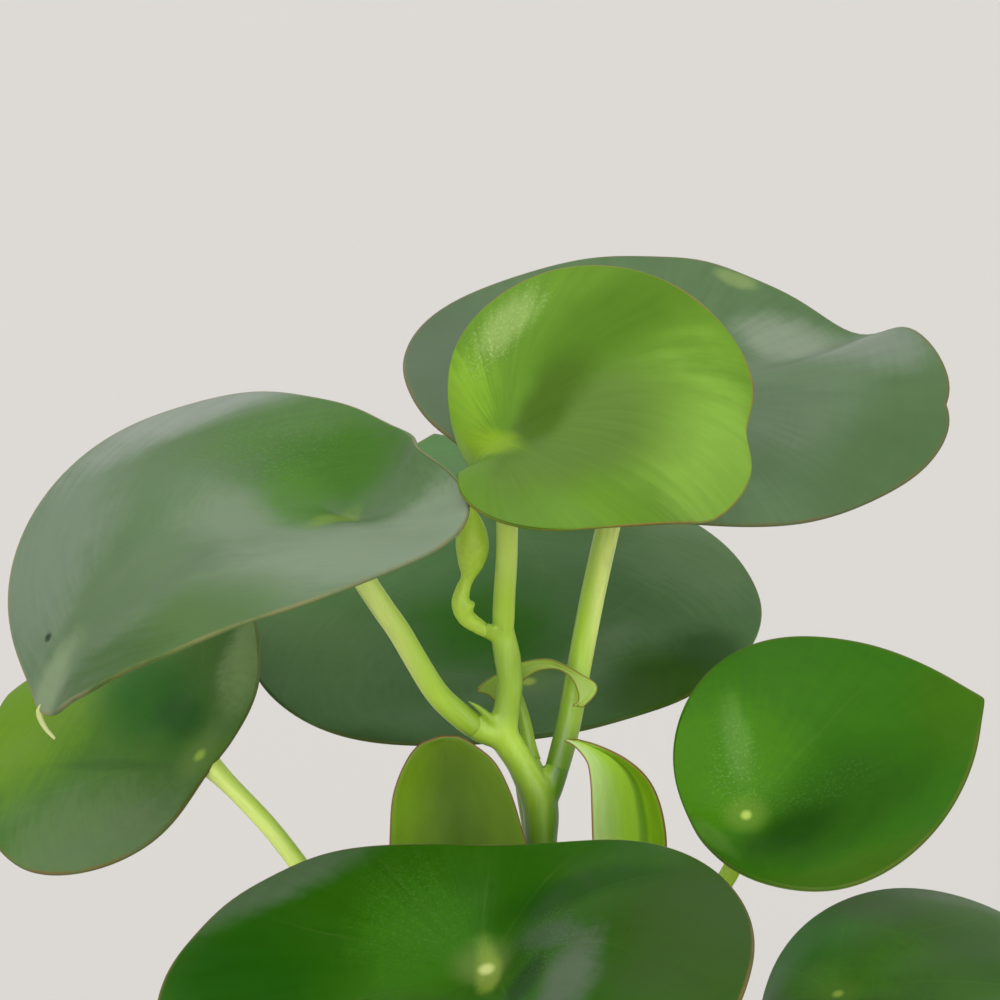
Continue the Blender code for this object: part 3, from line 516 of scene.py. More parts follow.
def blade_object(name, leaf, material, spokes, shares, thick, edge):
    """Closed blade with a rounded margin, and its two attributes."""
    grid, flat, centre, normal = blade_surface(leaf, spokes, shares)
    rows = len(shares)
    whole = np.concatenate([np.broadcast_to(centre, (1, spokes, 3)), grid])
    radial = np.gradient(whole, axis=0)[1:]
    around = np.roll(grid, -1, axis=1) - np.roll(grid, 1, axis=1)
    normals = np.cross(radial, around)
    normals /= np.linalg.norm(normals, axis=2, keepdims=True)
    share = np.array(shares) / STEPS
    half = (thick + (edge - thick) * share ** 2)[:, None, None] / 2
    outward = radial[-1] / np.linalg.norm(radial[-1], axis=1, keepdims=True)
    hub = grid[-1] - outward * edge / 2
    verts, spots, amounts = [[centre + normal * thick / 2]], [[(0, 0, 1.0)]], [[0.0]]

    def add_ring(points, place, side, amount):
        verts.append(points)
        spots.append(np.column_stack([place, np.full(spokes, side)]))
        amounts.append(np.full(spokes, amount))

    for k in range(rows - 1):
        add_ring(grid[k] + normals[k] * half[k], flat[k], 1.0, share[k])
    for step in range(ARC_STEPS + 1):
        a = math.pi / 2 - math.pi * step / ARC_STEPS
        points = hub + (outward * math.cos(a) + normals[-1] * math.sin(a)) * edge / 2
        add_ring(points, flat[-1], math.sin(a), 1.0)
    for k in range(rows - 2, -1, -1):
        add_ring(grid[k] - normals[k] * half[k], flat[k], -1.0, share[k])
    verts.append([centre - normal * thick / 2])
    spots.append([(0, 0, -1.0)])
    amounts.append([0.0])
    rings = len(verts) - 2
    faces = [(0, 1 + j, 1 + (j + 1) % spokes) for j in range(spokes)]
    for k in range(rings - 1):
        a, b = 1 + k * spokes, 1 + (k + 1) * spokes
        faces += [(a + j, b + j, b + (j + 1) % spokes, a + (j + 1) % spokes) for j in range(spokes)]
    last, pole = 1 + (rings - 1) * spokes, 1 + rings * spokes
    faces += [(pole, last + (j + 1) % spokes, last + j) for j in range(spokes)]
    made = make_object(name, np.concatenate(verts), faces, material)
    add_attribute(made, "spot", np.concatenate(spots))
    add_attribute(made, "share", np.concatenate(amounts))
    return made


print("blade builder ready")

# %% [markdown]
# ## The leaves of the plant
#
# Every line holds the dimensions of one blade in millimetres and degrees, the same ones that
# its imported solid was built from: where the stalk meets it, how it is turned, how long and wide
# it is, and its slopes near the stalk and at the margin. Eight leaves show in front; seven
# lower ones close the plant over the pot.

# %% Leaf table
LEAVES = {
    "leaf_01": dict(at=(-32.7, -9.4, 228.2), turn=(199, 19, 1), size=(82, 94.5), foot=0.22,
                    taper=0.0, ends=(1.2, -1.3), inner=(-1, 10, 42, 24),
                    outer=(-80, -2, 71, 26), skew=(0, 4), wave=(-9, -5), ripple=1.5, bend=0.92),
    "leaf_02": dict(at=(16.9, 35.0, 241.5), turn=(5, -4, 15), size=(98, 82), foot=0.42,
                    taper=0.77, ends=(-2.8, 0.2), inner=(0, 7, 7, 7),
                    outer=(-11, 18, -6, -22), skew=(3, 10), wave=(-3, -10), bend=1.18,
                    lift=(9, 11, 32)),
    "leaf_03": dict(at=(-6.1, -12.8, 241.7), turn=(-5, 43, 16), size=(59, 54.5), foot=0.21,
                    taper=0.16, ends=(-3.2, 4.2), inner=(2, 36, 26, 12),
                    outer=(-75, 10, -16, -43), skew=(10, 35), wave=(-15, 65), ripple=11,
                    bend=0.9, swell=0.5),
    "leaf_04": dict(at=(-2.0, 33.0, 190.0), turn=(102, 14, -8), size=(100.5, 92), foot=0.19,
                    taper=0.62, ends=(1, 0), inner=(14, 6, 5, 10),
                    outer=(0, -3, -3, -11), skew=(0, 1)),
    "leaf_05": dict(at=(-58.2, 16.5, 181.3), turn=(127, -2, -45), size=(72.5, 63), foot=0.13,
                    taper=0.61, ends=(-0.5, 5.8), inner=(5, 0, -3, 8),
                    outer=(-5, 18, -27, 16), skew=(-2, 0), wave=(-7, -95)),
    "leaf_06": dict(at=(-9.0, -48.5, 163.0), turn=(-100, -27, 7), size=(102.5, 102),
                    foot=0.27, taper=0.45, ends=(1, 4), inner=(28, 48, 28, 27),
                    outer=(-3, -23, 9, -1), skew=(0, 2)),
    "leaf_07": dict(at=(33.3, -26.4, 182.6), turn=(10, 18, 41), size=(53, 56.5), foot=0.2,
                    taper=0.42, ends=(1, 1.8), inner=(7, 7, 7, 8),
                    outer=(15, 7, 8, 47), skew=(2, 5), wave=(-4, 120), bend=0.73, swell=0.6),
    "leaf_08": dict(at=(49.0, -23.5, 151.0), turn=(-27, 4, 22), size=(93.5, 78.5), foot=0.22,
                    taper=0.59, ends=(1, 2), inner=(0, 5, 3, 6),
                    outer=(-47, -20, -58, -15), skew=(0, -19)),
}
LOWER = {
    "leaf_13": ((32.0, 42.0, 118.0), (52, -14, 0), (78, 68), (-22, -16, -8, -16), 3),
    "leaf_14": ((-26.0, 46.0, 119.0), (128, -12, 0), (82, 72), (-20, -14, -8, -18), -3),
    "leaf_15": ((-50.0, 10.0, 124.0), (180, -18, -4), (70, 62), (-24, -16, -8, -14), 2),
    "leaf_16": ((52.0, 12.0, 122.0), (4, -16, 4), (72, 64), (-24, -14, -8, -16), -2),
    "leaf_17": ((-40.0, -34.0, 127.0), (222, -18, 4), (66, 58), (-22, -16, -8, -16), 2),
    "leaf_18": ((30.0, -42.0, 120.0), (-52, -20, 0), (60, 53), (-22, -16, -8, -16), 2),
    "leaf_19": ((4.0, 34.0, 136.0), (78, -6, 0), (58, 52), (-20, -14, -8, -16), 2),
}
for name, (at, turn, size, outer, skew) in LOWER.items():
    LEAVES[name] = dict(at=at, turn=turn, size=size, foot=0.28, taper=0.6, ends=(2, 2),
                        inner=(8, 8, 10, 8), outer=outer, skew=(0, skew))
for number, leaf in enumerate(LEAVES.values()):
    leaf["tone"] = 1.0 + 0.7 * number
print(len(LEAVES), "blades")

# %% [markdown]
# ## Colour of each blade
#
# Old leaves are deep bottle green, the youngest of the large ones is a fresh yellow green, and
# some have a mark of their own, such as a dark fleck or a brown rim. Most patches on them are
# painted light: grey-green painted sheen where a blade would mirror the light box, deeper
# painted shade in funnels, folds and under other leaves, and pale painted highlights. The
# grey-green base of leaf_01 and leaf_02 is painted sheen too. They are given as patches in
# blade space, so a mark stays on the leaf wherever the leaf turns.

# %% Blade colours
DEEP = (0.026, 0.098, 0.010)
MIDDLE = (0.038, 0.125, 0.014)
BACK = (0.14, 0.27, 0.07)

SKINS = {
    # leaf_01: the grey-green base and the grey patches are painted sheen, the deep green patches in the funnel
    # painted shade, the bright bar by the navel and the glints painted highlights; the tiny dark spot is a real
    # fleck.
    "leaf_01": dict(deep=(0.065, 0.121, 0.045), fresh=(0.077, 0.137, 0.056), seed=3.0, gloss=0.12,
                    navel=(0.12, 0.20, 0.02), navel_radius=0.5, glow_weight=0.0,
                    rim=(0.20, 0.18, 0.07), rim_weight=0.6,
                    shade_sheen_and_marks=[(3.0, 31.0, 36.0, 0.80, 0, (0.142, 0.200, 0.121), 1.0),
                             (-11.0, 17.0, 17.0, 0.80, 0, (0.170, 0.229, 0.143), 0.8),
                             (17.0, 0.0, 13.0, 2.10, 10, (0.123, 0.183, 0.101), 0.9),
                             (46.0, -28.0, 32.0, 0.60, 48, (0.122, 0.171, 0.112), 0.9),
                             (14.0, -45.0, 31.0, 0.34, 5, (0.188, 0.221, 0.181), 1.0),
                             (38.0, 37.0, 24.0, 0.80, -40, (0.050, 0.115, 0.018), 0.9),
                             (52.0, 27.0, 25.0, 0.50, -52, (0.025, 0.082, 0.001), 0.95),
                             (61.0, 2.0, 13.0, 0.90, 0, (0.162, 0.226, 0.112), 0.9),
                             (3.0, -28.0, 22.0, 0.70, 0, (0.054, 0.128, 0.022), 0.85),
                             (-2.0, -17.0, 23.0, 0.72, 0, (0.031, 0.110, 0.002), 1.0),
                             (7.0, -4.0, 9.5, 2.20, -8, (0.041, 0.141, 0.001), 0.95),
                             (3.0, 3.5, 13.0, 0.26, 52, (0.140, 0.235, 0.015), 0.75),
                             (54.6, -12.1, 1.2, 1.50, 0, (0.012, 0.030, 0.012), 1.0)],
                    painted_glints=[(10.0, -24.0, 24.0, 0.70, 40, (0.105, 0.195, 0.075), 0.35)]),
    # leaf_02: the grey-green base and the pale grey bands along its fold are painted sheen, the darker patches
    # at its left and lower right painted shade.
    "leaf_02": dict(deep=(0.066, 0.122, 0.048), fresh=(0.076, 0.136, 0.056), seed=11.0,
                    rim_weight=0.5, gloss=0.14, rays=0.7,
                    shade_sheen_and_marks=[(-38.0, 8.0, 30.0, 1.50, 0, (0.056, 0.099, 0.045), 0.9),
                             (25.0, 3.0, 22.0, 1.00, 0, (0.104, 0.156, 0.089), 0.8),
                             (14.0, -32.0, 18.0, 0.80, 30, (0.104, 0.182, 0.077), 0.7),
                             (44.0, -12.0, 24.0, 0.60, 50, (0.058, 0.113, 0.037), 0.8),
                             (28.0, 16.0, 13.0, 0.65, -20, (0.176, 0.221, 0.152), 0.95),
                             (41.0, 8.5, 15.0, 0.42, -8, (0.154, 0.192, 0.144), 0.95),
                             (20.0, 31.5, 5.5, 0.45, -28, (0.160, 0.230, 0.075), 0.8)]),
    # leaf_03: the bright lobes are painted light, the dark band from the navel up the middle is painted shade in
    # its fold, and the pale spot with its glints is a painted highlight.
    "leaf_03": dict(deep=(0.100, 0.216, 0.013), fresh=(0.114, 0.242, 0.016), seed=21.0,
                    through=0.25, rough=0.38, gloss=0.14, back=(0.26, 0.45, 0.10),
                    navel=(0.20, 0.34, 0.01), navel_radius=0.6, glow_weight=0.0,
                    rim=(0.28, 0.14, 0.05), rays=1.0,
                    shade_sheen_and_marks=[(37.0, -12.0, 25.0, 1.00, 0, (0.214, 0.386, 0.048), 0.95),
                             (-5.0, 16.0, 14.0, 1.00, 0, (0.222, 0.412, 0.022), 0.9),
                             (12.0, -6.0, 27.0, 0.55, 20, (0.092, 0.168, 0.026), 0.9),
                             (25.0, 12.5, 24.0, 0.32, 27, (0.068, 0.162, 0.006), 0.9),
                             (9.0, 1.0, 17.0, 0.34, 36, (0.050, 0.112, 0.003), 0.95),
                             (12.0, 20.5, 9.0, 0.60, 25, (0.242, 0.360, 0.088), 0.85),
                             (-2.0, 3.0, 13.0, 0.28, 120, (0.220, 0.365, 0.012), 0.85)],
                    painted_glints=[(10.0, 20.0, 14.0, 0.50, 20, (0.380, 0.500, 0.220), 0.5)]),
    # leaf_04: the pale grey-green patches are painted sheen, the dark ones painted shade.
    "leaf_04": dict(deep=(0.066, 0.158, 0.044), fresh=(0.078, 0.176, 0.054), seed=33.0,
                    rim_weight=0.3, gloss=0.08,
                    shade_sheen_and_marks=[(22.0, 34.0, 27.0, 0.60, 0, (0.090, 0.192, 0.055), 0.8),
                             (30.0, -38.0, 25.0, 0.70, 0, (0.122, 0.216, 0.083), 0.9),
                             (-13.0, 32.0, 19.0, 0.50, 59, (0.028, 0.086, 0.012), 0.9),
                             (17.0, 4.0, 18.0, 1.10, 0, (0.026, 0.138, 0.001), 0.95),
                             (3.0, -14.0, 15.0, 0.42, 130, (0.122, 0.208, 0.094), 0.8),
                             (-10.0, -22.0, 18.0, 0.70, 120, (0.029, 0.088, 0.001), 0.95),
                             (-1.0, -32.0, 10.0, 1.00, 0, (0.015, 0.074, 0.001), 0.9)]),
    # leaf_05: the greyish and pale patches are painted sheen, the dark ones near the navel painted shade.
    "leaf_05": dict(deep=(0.040, 0.120, 0.008), fresh=(0.048, 0.132, 0.012), seed=41.0, gloss=0.10,
                    navel=(0.26, 0.40, 0.04), navel_radius=1.8,
                    shade_sheen_and_marks=[(56.0, 4.0, 34.0, 1.00, 0, (0.096, 0.202, 0.002), 0.95),
                             (7.0, 22.0, 32.0, 0.62, 12, (0.086, 0.150, 0.050), 0.95),
                             (-3.0, -5.0, 10.0, 1.60, 0, (0.084, 0.168, 0.038), 0.8),
                             (20.0, -7.0, 24.0, 0.48, -8, (0.014, 0.098, 0.001), 0.95),
                             (11.0, -5.5, 11.0, 0.50, -8, (0.006, 0.066, 0.001), 0.6),
                             (0.0, -20.0, 14.0, 0.65, 100, (0.180, 0.286, 0.098), 0.9),
                             (19.0, 7.0, 20.0, 0.09, 14, (0.030, 0.090, 0.008), 0.6)]),
    # leaf_06: the dark patches are painted shade under the leaves above, the grey-green ones painted sheen, the
    # bright bar by the navel and the glints painted highlights.
    "leaf_06": dict(deep=(0.016, 0.080, 0.001), fresh=(0.022, 0.092, 0.001), seed=51.0, gloss=0.10,
                    navel=(0.48, 0.54, 0.18), navel_radius=2.0, glow_weight=0.35, rays=0.6,
                    shade_sheen_and_marks=[(8.0, 42.0, 38.0, 0.70, 0, (0.024, 0.063, 0.006), 0.95),
                             (14.0, -38.0, 23.0, 0.80, 0, (0.008, 0.064, 0.001), 0.85),
                             (0.0, -11.0, 21.0, 0.75, 0, (0.030, 0.124, 0.002), 0.9),
                             (-10.0, 17.0, 22.0, 0.30, 90, (0.007, 0.052, 0.001), 0.8),
                             (17.0, 21.0, 18.0, 0.40, -8, (0.074, 0.108, 0.063), 0.95),
                             (0.5, 14.5, 12.0, 0.42, 55, (0.048, 0.090, 0.038), 0.85),
                             (14.5, 11.5, 12.0, 0.40, -12, (0.006, 0.040, 0.001), 0.9),
                             (-14.0, -36.0, 31.0, 0.24, -49, (0.070, 0.114, 0.055), 0.9),
                             (3.5, 1.3, 12.0, 0.30, 14, (0.190, 0.290, 0.030), 0.9)],
                    painted_glints=[(4.0, 14.0, 18.0, 0.70, 40, (0.130, 0.180, 0.110), 0.4),
                             (-6.0, -14.0, 22.0, 0.60, 0, (0.070, 0.180, 0.030), 0.35)]),
    # leaf_07: the dark patches are painted shade, the light streaks and glints at its upper left painted
    # highlights.
    "leaf_07": dict(deep=(0.022, 0.106, 0.001), fresh=(0.028, 0.120, 0.001), seed=61.0, gloss=0.08,
                    navel=(0.34, 0.46, 0.08), navel_radius=1.3, glow_weight=0.4, rays=0.5,
                    rim=(0.10, 0.10, 0.02), rim_weight=0.5,
                    shade_sheen_and_marks=[(42.0, 0.0, 16.0, 1.20, 0, (0.036, 0.108, 0.001), 0.8),
                             (-1.0, 10.0, 19.0, 1.10, 20, (0.048, 0.166, 0.001), 0.9),
                             (14.0, -7.0, 26.0, 0.55, 10, (0.016, 0.074, 0.001), 0.9),
                             (6.5, -7.0, 12.0, 0.55, 0, (0.009, 0.050, 0.001), 0.9),
                             (8.0, -24.5, 28.0, 0.30, 3, (0.040, 0.112, 0.003), 0.85),
                             (3.5, 13.0, 11.0, 0.30, 78, (0.092, 0.215, 0.032), 0.6),
                             (-7.0, -3.0, 10.0, 0.25, 100, (0.070, 0.165, 0.020), 0.6)],
                    painted_glints=[(1.5, 9.0, 14.0, 0.45, 75, (0.180, 0.330, 0.090), 0.30),
                             (10.0, 0.0, 22.0, 0.30, -10, (0.100, 0.220, 0.050), 0.2)]),
    # leaf_08: its patches are painted light and shade too: the greyish one painted sheen, the darkest one
    # painted shade.
    "leaf_08": dict(deep=(0.027, 0.092, 0.004), fresh=(0.033, 0.104, 0.006), seed=71.0, gloss=0.10,
                    navel=(0.26, 0.40, 0.05), navel_radius=1.4, rim_weight=0.25,
                    shade_sheen_and_marks=[(-3.0, 8.0, 19.0, 1.10, 0, (0.042, 0.160, 0.002), 0.9),
                             (-13.0, 14.0, 15.0, 1.00, 0, (0.030, 0.190, 0.001), 0.9),
                             (8.0, 37.0, 19.0, 0.30, 20, (0.066, 0.122, 0.046), 0.85),
                             (22.0, 22.0, 14.0, 1.20, 0, (0.018, 0.075, 0.001), 0.8),
                             (-6.0, 4.0, 8.0, 0.80, 0, (0.075, 0.220, 0.020), 0.7)]),
}
FINE = [2, 4, 6, 8, 10, 13, 16, 19, 22, 26, 30, 34, 38, 42, 46, 50, 54, 58, 62, 66, 70, 74, 78,
        82, 86, 90, 94, 98, 102, 106, 110, 113, 116, 118, 120]
COARSE = [3, 6, 10, 15, 20, 26, 32, 38, 44, 50, 56, 62, 68, 74, 80, 86, 92, 98, 104, 110, 115,
          118, 120]
BLADE_THICK = 1.3
EDGE_THICK = 0.75

for number, (name, leaf) in enumerate(LEAVES.items()):
    skin = dict(deep=DEEP, fresh=MIDDLE, back=BACK, seed=100.0 + 10 * number)
    skin.update(SKINS.get(name, {}))
    big = name in SKINS
    blade = blade_object(f"{name}_skin", leaf, leaf_skin(f"{name}_skin", **skin),
                         168 if big else 96, FINE if big else COARSE, BLADE_THICK, EDGE_THICK)
    show(blade, "young_leaf" if name == "leaf_03" else "leaf", f"{name}_blade")
    print(name, len(blade.data.polygons), "faces")

# %% [markdown]
# ## Stalk and stem tissue
#
# Stalks are smooth, juicy and yellow green, darker towards the foot, partly for the older tissue
# there and partly as painted shade under the leaves. The group mixes a dark and a bright tone by
# an attribute that each mesh carries, turns pale where that attribute runs above one, as a
# painted sheen, and runs faint streaks along the length. It is used again for the buds and the
# little tip of the hanging leaf.

# %% Tissue group and material
recipe, given, result = new_group(
    "Stalk tissue",
    [("Grain", "Vector", None), ("Tone", "Float", 1.0), ("Dark", "Color", (0.1, 0.2, 0.02, 1)),
     ("Bright", "Color", (0.4, 0.6, 0.06, 1)), ("Painted Sheen", "Color", (0.7, 0.85, 0.35, 1))],
    [("Colour", "Color", None), ("Streaks", "Float", None), ("Height", "Float", None)])
streaks = recipe.noise(given["Grain"], 1.5, 4.0, 0.6)
clouds = recipe.noise(given["Grain"], 0.25, 3.0)
amount = recipe.math("MULTIPLY_ADD", recipe.math("SUBTRACT", clouds, 0.5), 0.5, given["Tone"],
                     clamp=True)
tint = recipe.blend(amount, given["Dark"], given["Bright"])
# above a tone of one the colour turns to the pale third colour: a painted sheen
tint = recipe.blend(recipe.step(given["Tone"], 1.0, 2.0), tint, given["Painted Sheen"])
paler = recipe.step(streaks, 0.4, 0.75, 0.0, 0.28)
paler = recipe.math("MULTIPLY", paler, given["Tone"])
feed(recipe, recipe.blend(paler, tint, (0.55, 0.72, 0.22)), result["Colour"])
feed(recipe, streaks, result["Streaks"])
feed(recipe, recipe.math("MULTIPLY_ADD", clouds, 0.5, recipe.math("MULTIPLY", streaks, 0.25)),
     result["Height"])


def tissue(name, dark, bright, painted_sheen, rough=0.3, through=0.12):
    """Stalk material: colour from the group, gloss and a little light through it."""
    made, recipe, shader, output = new_material(name)
    grain = recipe.put("ShaderNodeAttribute", attribute_name="grain").outputs["Vector"]
    tone = recipe.put("ShaderNodeAttribute", attribute_name="tone").outputs["Fac"]
    group = recipe.put("ShaderNodeGroup", node_tree=bpy.data.node_groups["Stalk tissue"])
    for socket, value in (("Grain", grain), ("Tone", tone), ("Dark", rgba(dark)),
                          ("Bright", rgba(bright)), ("Painted Sheen", rgba(painted_sheen))):
        feed(recipe, value, group.inputs[socket])
    feed(recipe, group.outputs["Colour"], shader.inputs["Base Color"])
    feed(recipe, recipe.step(group.outputs["Streaks"], 0.3, 0.7, rough, rough + 0.12),
         shader.inputs["Roughness"])
    bump = recipe.put("ShaderNodeBump", {"Height": group.outputs["Height"], "Strength": 0.35,
                                         "Distance": 0.0004}).outputs[0]
    feed(recipe, bump, shader.inputs["Normal"])
    glass = recipe.put("ShaderNodeBsdfTranslucent", {"Normal": bump})
    feed(recipe, group.outputs["Colour"], glass.inputs["Color"])
    mixed = recipe.put("ShaderNodeMixShader", {0: through, 1: shader.outputs[0], 2: glass.outputs[0]})
    recipe.tree.links.new(mixed.outputs[0], output.inputs["Surface"])
    return made


# the third colour is the pale painted sheen of the upper stalks
stalk_tissue = tissue("stalk_tissue", (0.06, 0.16, 0.002), (0.44, 0.66, 0.050),
                      (0.86, 0.98, 0.26))
print("tissue ready")

# %% [markdown]
# ## Lines and tubes
#
# A stalk is a tube round a smooth line through a handful of points. A curve object with a
# bevel makes such a tube too, but here the rings are needed for colours and for the flare that
# spreads the stalk under its blade, so they are laid out by hand.


# %% Line and tube helpers
def smooth_line(points, step):
    """Catmull-Rom line through (x, y, z, radius) points, with its run in three more columns."""
    pts = np.array(points, float)
    ext = np.vstack([2 * pts[0] - pts[1], pts, 2 * pts[-1] - pts[-2]])
    out = []
    for i in range(1, len(ext) - 2):
        p0, p1, p2, p3 = ext[i - 1:i + 3]
        n = max(1, int(round(np.linalg.norm((p2 - p1)[:3]) / step)))
        for t in np.arange(n) / n:
            out.append(0.5 * (2 * p1 + (p2 - p0) * t + (2 * p0 - 5 * p1 + 4 * p2 - p3) * t ** 2
                              + (3 * p1 - p0 - 3 * p2 + p3) * t ** 3))
    out.append(pts[-1])
    out = np.array(out)
    return np.column_stack([out, np.gradient(out[:, :3], axis=0)])


def run_length(line):
    return np.concatenate([[0], np.cumsum(np.linalg.norm(np.diff(line[:, :3], axis=0), axis=1))])


def cut_line(line, start, end):
    """Part of a line between two lengths along it."""
    length = run_length(line)
    stops = [start] + [s for s in length if start + 0.2 < s < end - 0.2] + [end]
    return np.array([[np.interp(s, length, line[:, c]) for c in range(line.shape[1])] for s in stops])


def with_radius(points, radii):
    pts = np.array(points, float)
    length = run_length(pts)
    return np.column_stack([pts, np.interp(length / length[-1], [0, 0.35, 1], radii)])


def tube(line, sides):
    """Rings of points round a line, carried along it without twist."""
    tang = line[:, 4:7] / np.linalg.norm(line[:, 4:7], axis=1, keepdims=True)
    side = np.cross(tang[0], (0.0, 1.0, 0.0))
    if np.linalg.norm(side) < 0.2:
        side = np.cross(tang[0], (1.0, 0.0, 0.0))
    turn = 2 * math.pi * np.arange(sides) / sides
    rings = []
    for p, t in zip(line, tang):
        side = side - t * (side @ t)
        side /= np.linalg.norm(side)
        rings.append(p[:3] + p[3] * (np.outer(np.cos(turn), side)
                                     + np.outer(np.sin(turn), np.cross(t, side))))
    return np.array(rings)


def tube_faces(count, sides, start=0):
    faces = []
    for k in range(count - 1):
        a, b = start + k * sides, start + (k + 1) * sides
        faces += [(a + i, a + (i + 1) % sides, b + (i + 1) % sides, b + i) for i in range(sides)]
    faces.append(tuple(start + i for i in range(sides)))
    faces.append(tuple(start + (count - 1) * sides + i for i in range(sides)))
    return faces


def close_tip(line, rounds=3):
    """Round off the far end of a line's radius so that the tube ends in a dome."""
    end = line[-1].copy()
    run = end[4:7] / np.linalg.norm(end[4:7])
    extra = []
    for k in range(1, rounds + 1):
        a = math.pi / 2 * k / (rounds + 0.4)
        row = end.copy()
        row[:3] = end[:3] + run * end[3] * math.sin(a)
        row[3] = end[3] * math.cos(a)
        extra.append(row)
    return np.vstack([line, extra])


print("tube helpers ready")

# %% [markdown]
# ## One skin for stem and joints
#
# A stalk does not stick in a stem like a peg: the tissue flows from one to the other. The
# stem and the feet of all its stalks are therefore put together as overlapping tubes, melted
# into one skin by a voxel remesh and smoothed, which leaves a small fillet at each joint.
# The longer part of every stalk stays a piece of its own, and takes over inside its foot.

# %% Stem and stalk tables
STEM = [
    (0.8, 2.0, 64.0, 3.1), (0.8, 2.0, 97.0, 3.1), (0.9, 1.2, 115.0, 3.0),
    (0.7, 1.0, 134.0, 3.0), (0.3, 0.0, 155.0, 2.9), (-0.1, 0.0, 169.5, 2.8),
    (-0.3, 0.0, 177.5, 3.1), (-3.4, 0.0, 184.5, 2.5), (-6.4, 0.0, 189.8, 2.6),
    (-5.7, 0.0, 194.8, 2.25), (-5.3, 0.0, 199.0, 2.2), (-5.8, 0.0, 203.2, 2.3),
    (-6.5, 0.0, 207.0, 2.1),
]
STALKS = {
    "leaf_01": ([(-6.4, 0, 189.2), (-10.4, -0.5, 190.7), (-14.4, -2, 194.1), (-17.7, -3.5, 197.9),
                 (-21.0, -5.5, 203.9), (-23.9, -7, 209.4), (-26.9, -8, 214.1), (-30.2, -9, 220.0)],
                5.8, (2.3, 2.0, 1.9)),
    "leaf_02": ([(0.3, 0, 177.4), (1.9, 1.0, 181.0), (4.5, 4, 190.1), (6.6, 9, 200.3),
                 (9.0, 15, 211.2), (11.5, 21, 221.0), (14.4, 29, 232.0)],
                7.5, (2.1, 2.1, 2.1)),
    "leaf_03": ([(-6.5, 0, 206.5), (-6.3, -1.9, 213.4), (-5.9, -5, 220.9), (-5.8, -8.2, 227.9),
                 (-5.9, -11, 234.4)],
                2.8, (1.95, 1.8, 1.8)),
    "leaf_04": ([(0.2, 0.5, 154.0), (-0.5, 6, 161.0), (-1.2, 13, 168.6), (-2.4, 20, 175.0),
                 (-2.8, 26.5, 180.5), (-2.4, 31, 185.3)],
                7.0, (2.2, 1.9, 1.9)),
    "leaf_05": ([(0.9, 1.2, 112.0), (-5.0, 2, 115.2), (-12.1, 3, 124.1), (-24.1, 4.5, 139.9),
                 (-33.5, 6.5, 153.6), (-41.2, 8.5, 164.2), (-46.3, 10.2, 170.5),
                 (-51.5, 12.4, 175.6)],
                7.0, (2.2, 1.7, 1.6)),
    "leaf_06": ([(1.0, 1.0, 119.0), (0.4, -5, 123.0), (-1.0, -14, 132.0), (-4.0, -27, 143.0),
                 (-7.0, -38, 150.5), (-8.6, -45, 156.5)],
                6.0, (2.3, 2.1, 2.1)),
    "leaf_07": ([(0.7, 0.8, 126.0), (5.0, -3, 131.0), (10.8, -7, 138.4), (20.6, -13, 153.2),
                 (27.0, -18, 164.6), (30.6, -21, 171.0), (32.4, -23.6, 176.4)],
                6.0, (2.1, 1.7, 1.5)),
    "leaf_08": ([(0.9, 1.0, 107.0), (7.0, -2, 110.6), (18.0, -7.5, 119.5), (31.0, -14, 131.0),
                 (41.5, -19.5, 139.5), (46.8, -22.3, 145.0)],
                8.0, (2.2, 2.0, 2.0)),
    "leaf_09": ([(0.4, 0.3, 146.0), (-3.2, -1.0, 149.4), (-7.2, -1.4, 154.8), (-10.6, -2.3, 160.0),
                 (-12.2, -4.2, 162.8)],
                6.5, (1.5, 1.3, 1.2)),
    "leaf_10": ([(0.4, 0.1, 149.5), (4.2, 0.8, 153.0), (8.8, 1.8, 158.0), (12.2, 1.4, 162.4),
                 (13.6, 0.0, 164.8)],
                6.5, (1.5, 1.2, 1.1)),
    "leaf_13": ([(1.1, 1.2, 102.0), (6.0, 8, 103.6), (15.0, 21, 107.0), (24.0, 34, 111.4)],
                8.0, (2.0, 1.8, 1.7)),
    "leaf_14": ([(1.1, 1.2, 108.0), (-3.0, 8, 110.4), (-11.0, 22, 112.0), (-20.5, 36.5, 113.8)],
                9.0, (2.0, 1.8, 1.7)),
    "leaf_15": ([(1.0, 1.2, 103.0), (-7.0, 2.6, 104.6), (-22.0, 5, 109.0), (-40.0, 8, 116.4)],
                9.0, (2.0, 1.8, 1.7)),
    "leaf_16": ([(0.9, 1.2, 114.5), (7.0, 2.8, 116.0), (22.0, 6, 117.6), (42.0, 10, 117.8)],
                8.0, (2.0, 1.8, 1.7)),
    "leaf_17": ([(0.8, 1.0, 130.0), (-4.0, -3, 130.6), (-16.0, -13, 128.6), (-31.0, -26, 122.6)],
                8.5, (1.9, 1.7, 1.6)),
    "leaf_18": ([(0.9, 1.2, 101.5), (4.4, -5, 103.0), (12.5, -18, 108.0), (23.0, -33.5, 113.4)],
                8.0, (1.9, 1.7, 1.6)),
    "leaf_19": ([(0.9, 0.9, 121.5), (1.4, 6, 123.0), (2.2, 17, 126.6), (3.2, 27.5, 130.6)],
                6.0, (1.8, 1.6, 1.6)),
}
HOOK_STALK = [(-0.3, 0.4, 178.0, 1.9), (-0.7, 2.6, 182.0, 1.4), (-1.9, 4.4, 186.0, 1.2),
              (-2.9, 5.6, 190.5, 1.15), (-4.2, 6.4, 194.5, 1.1), (-5.2, 6.5, 197.0, 0.9)]
HOOK_STUB = 7.0
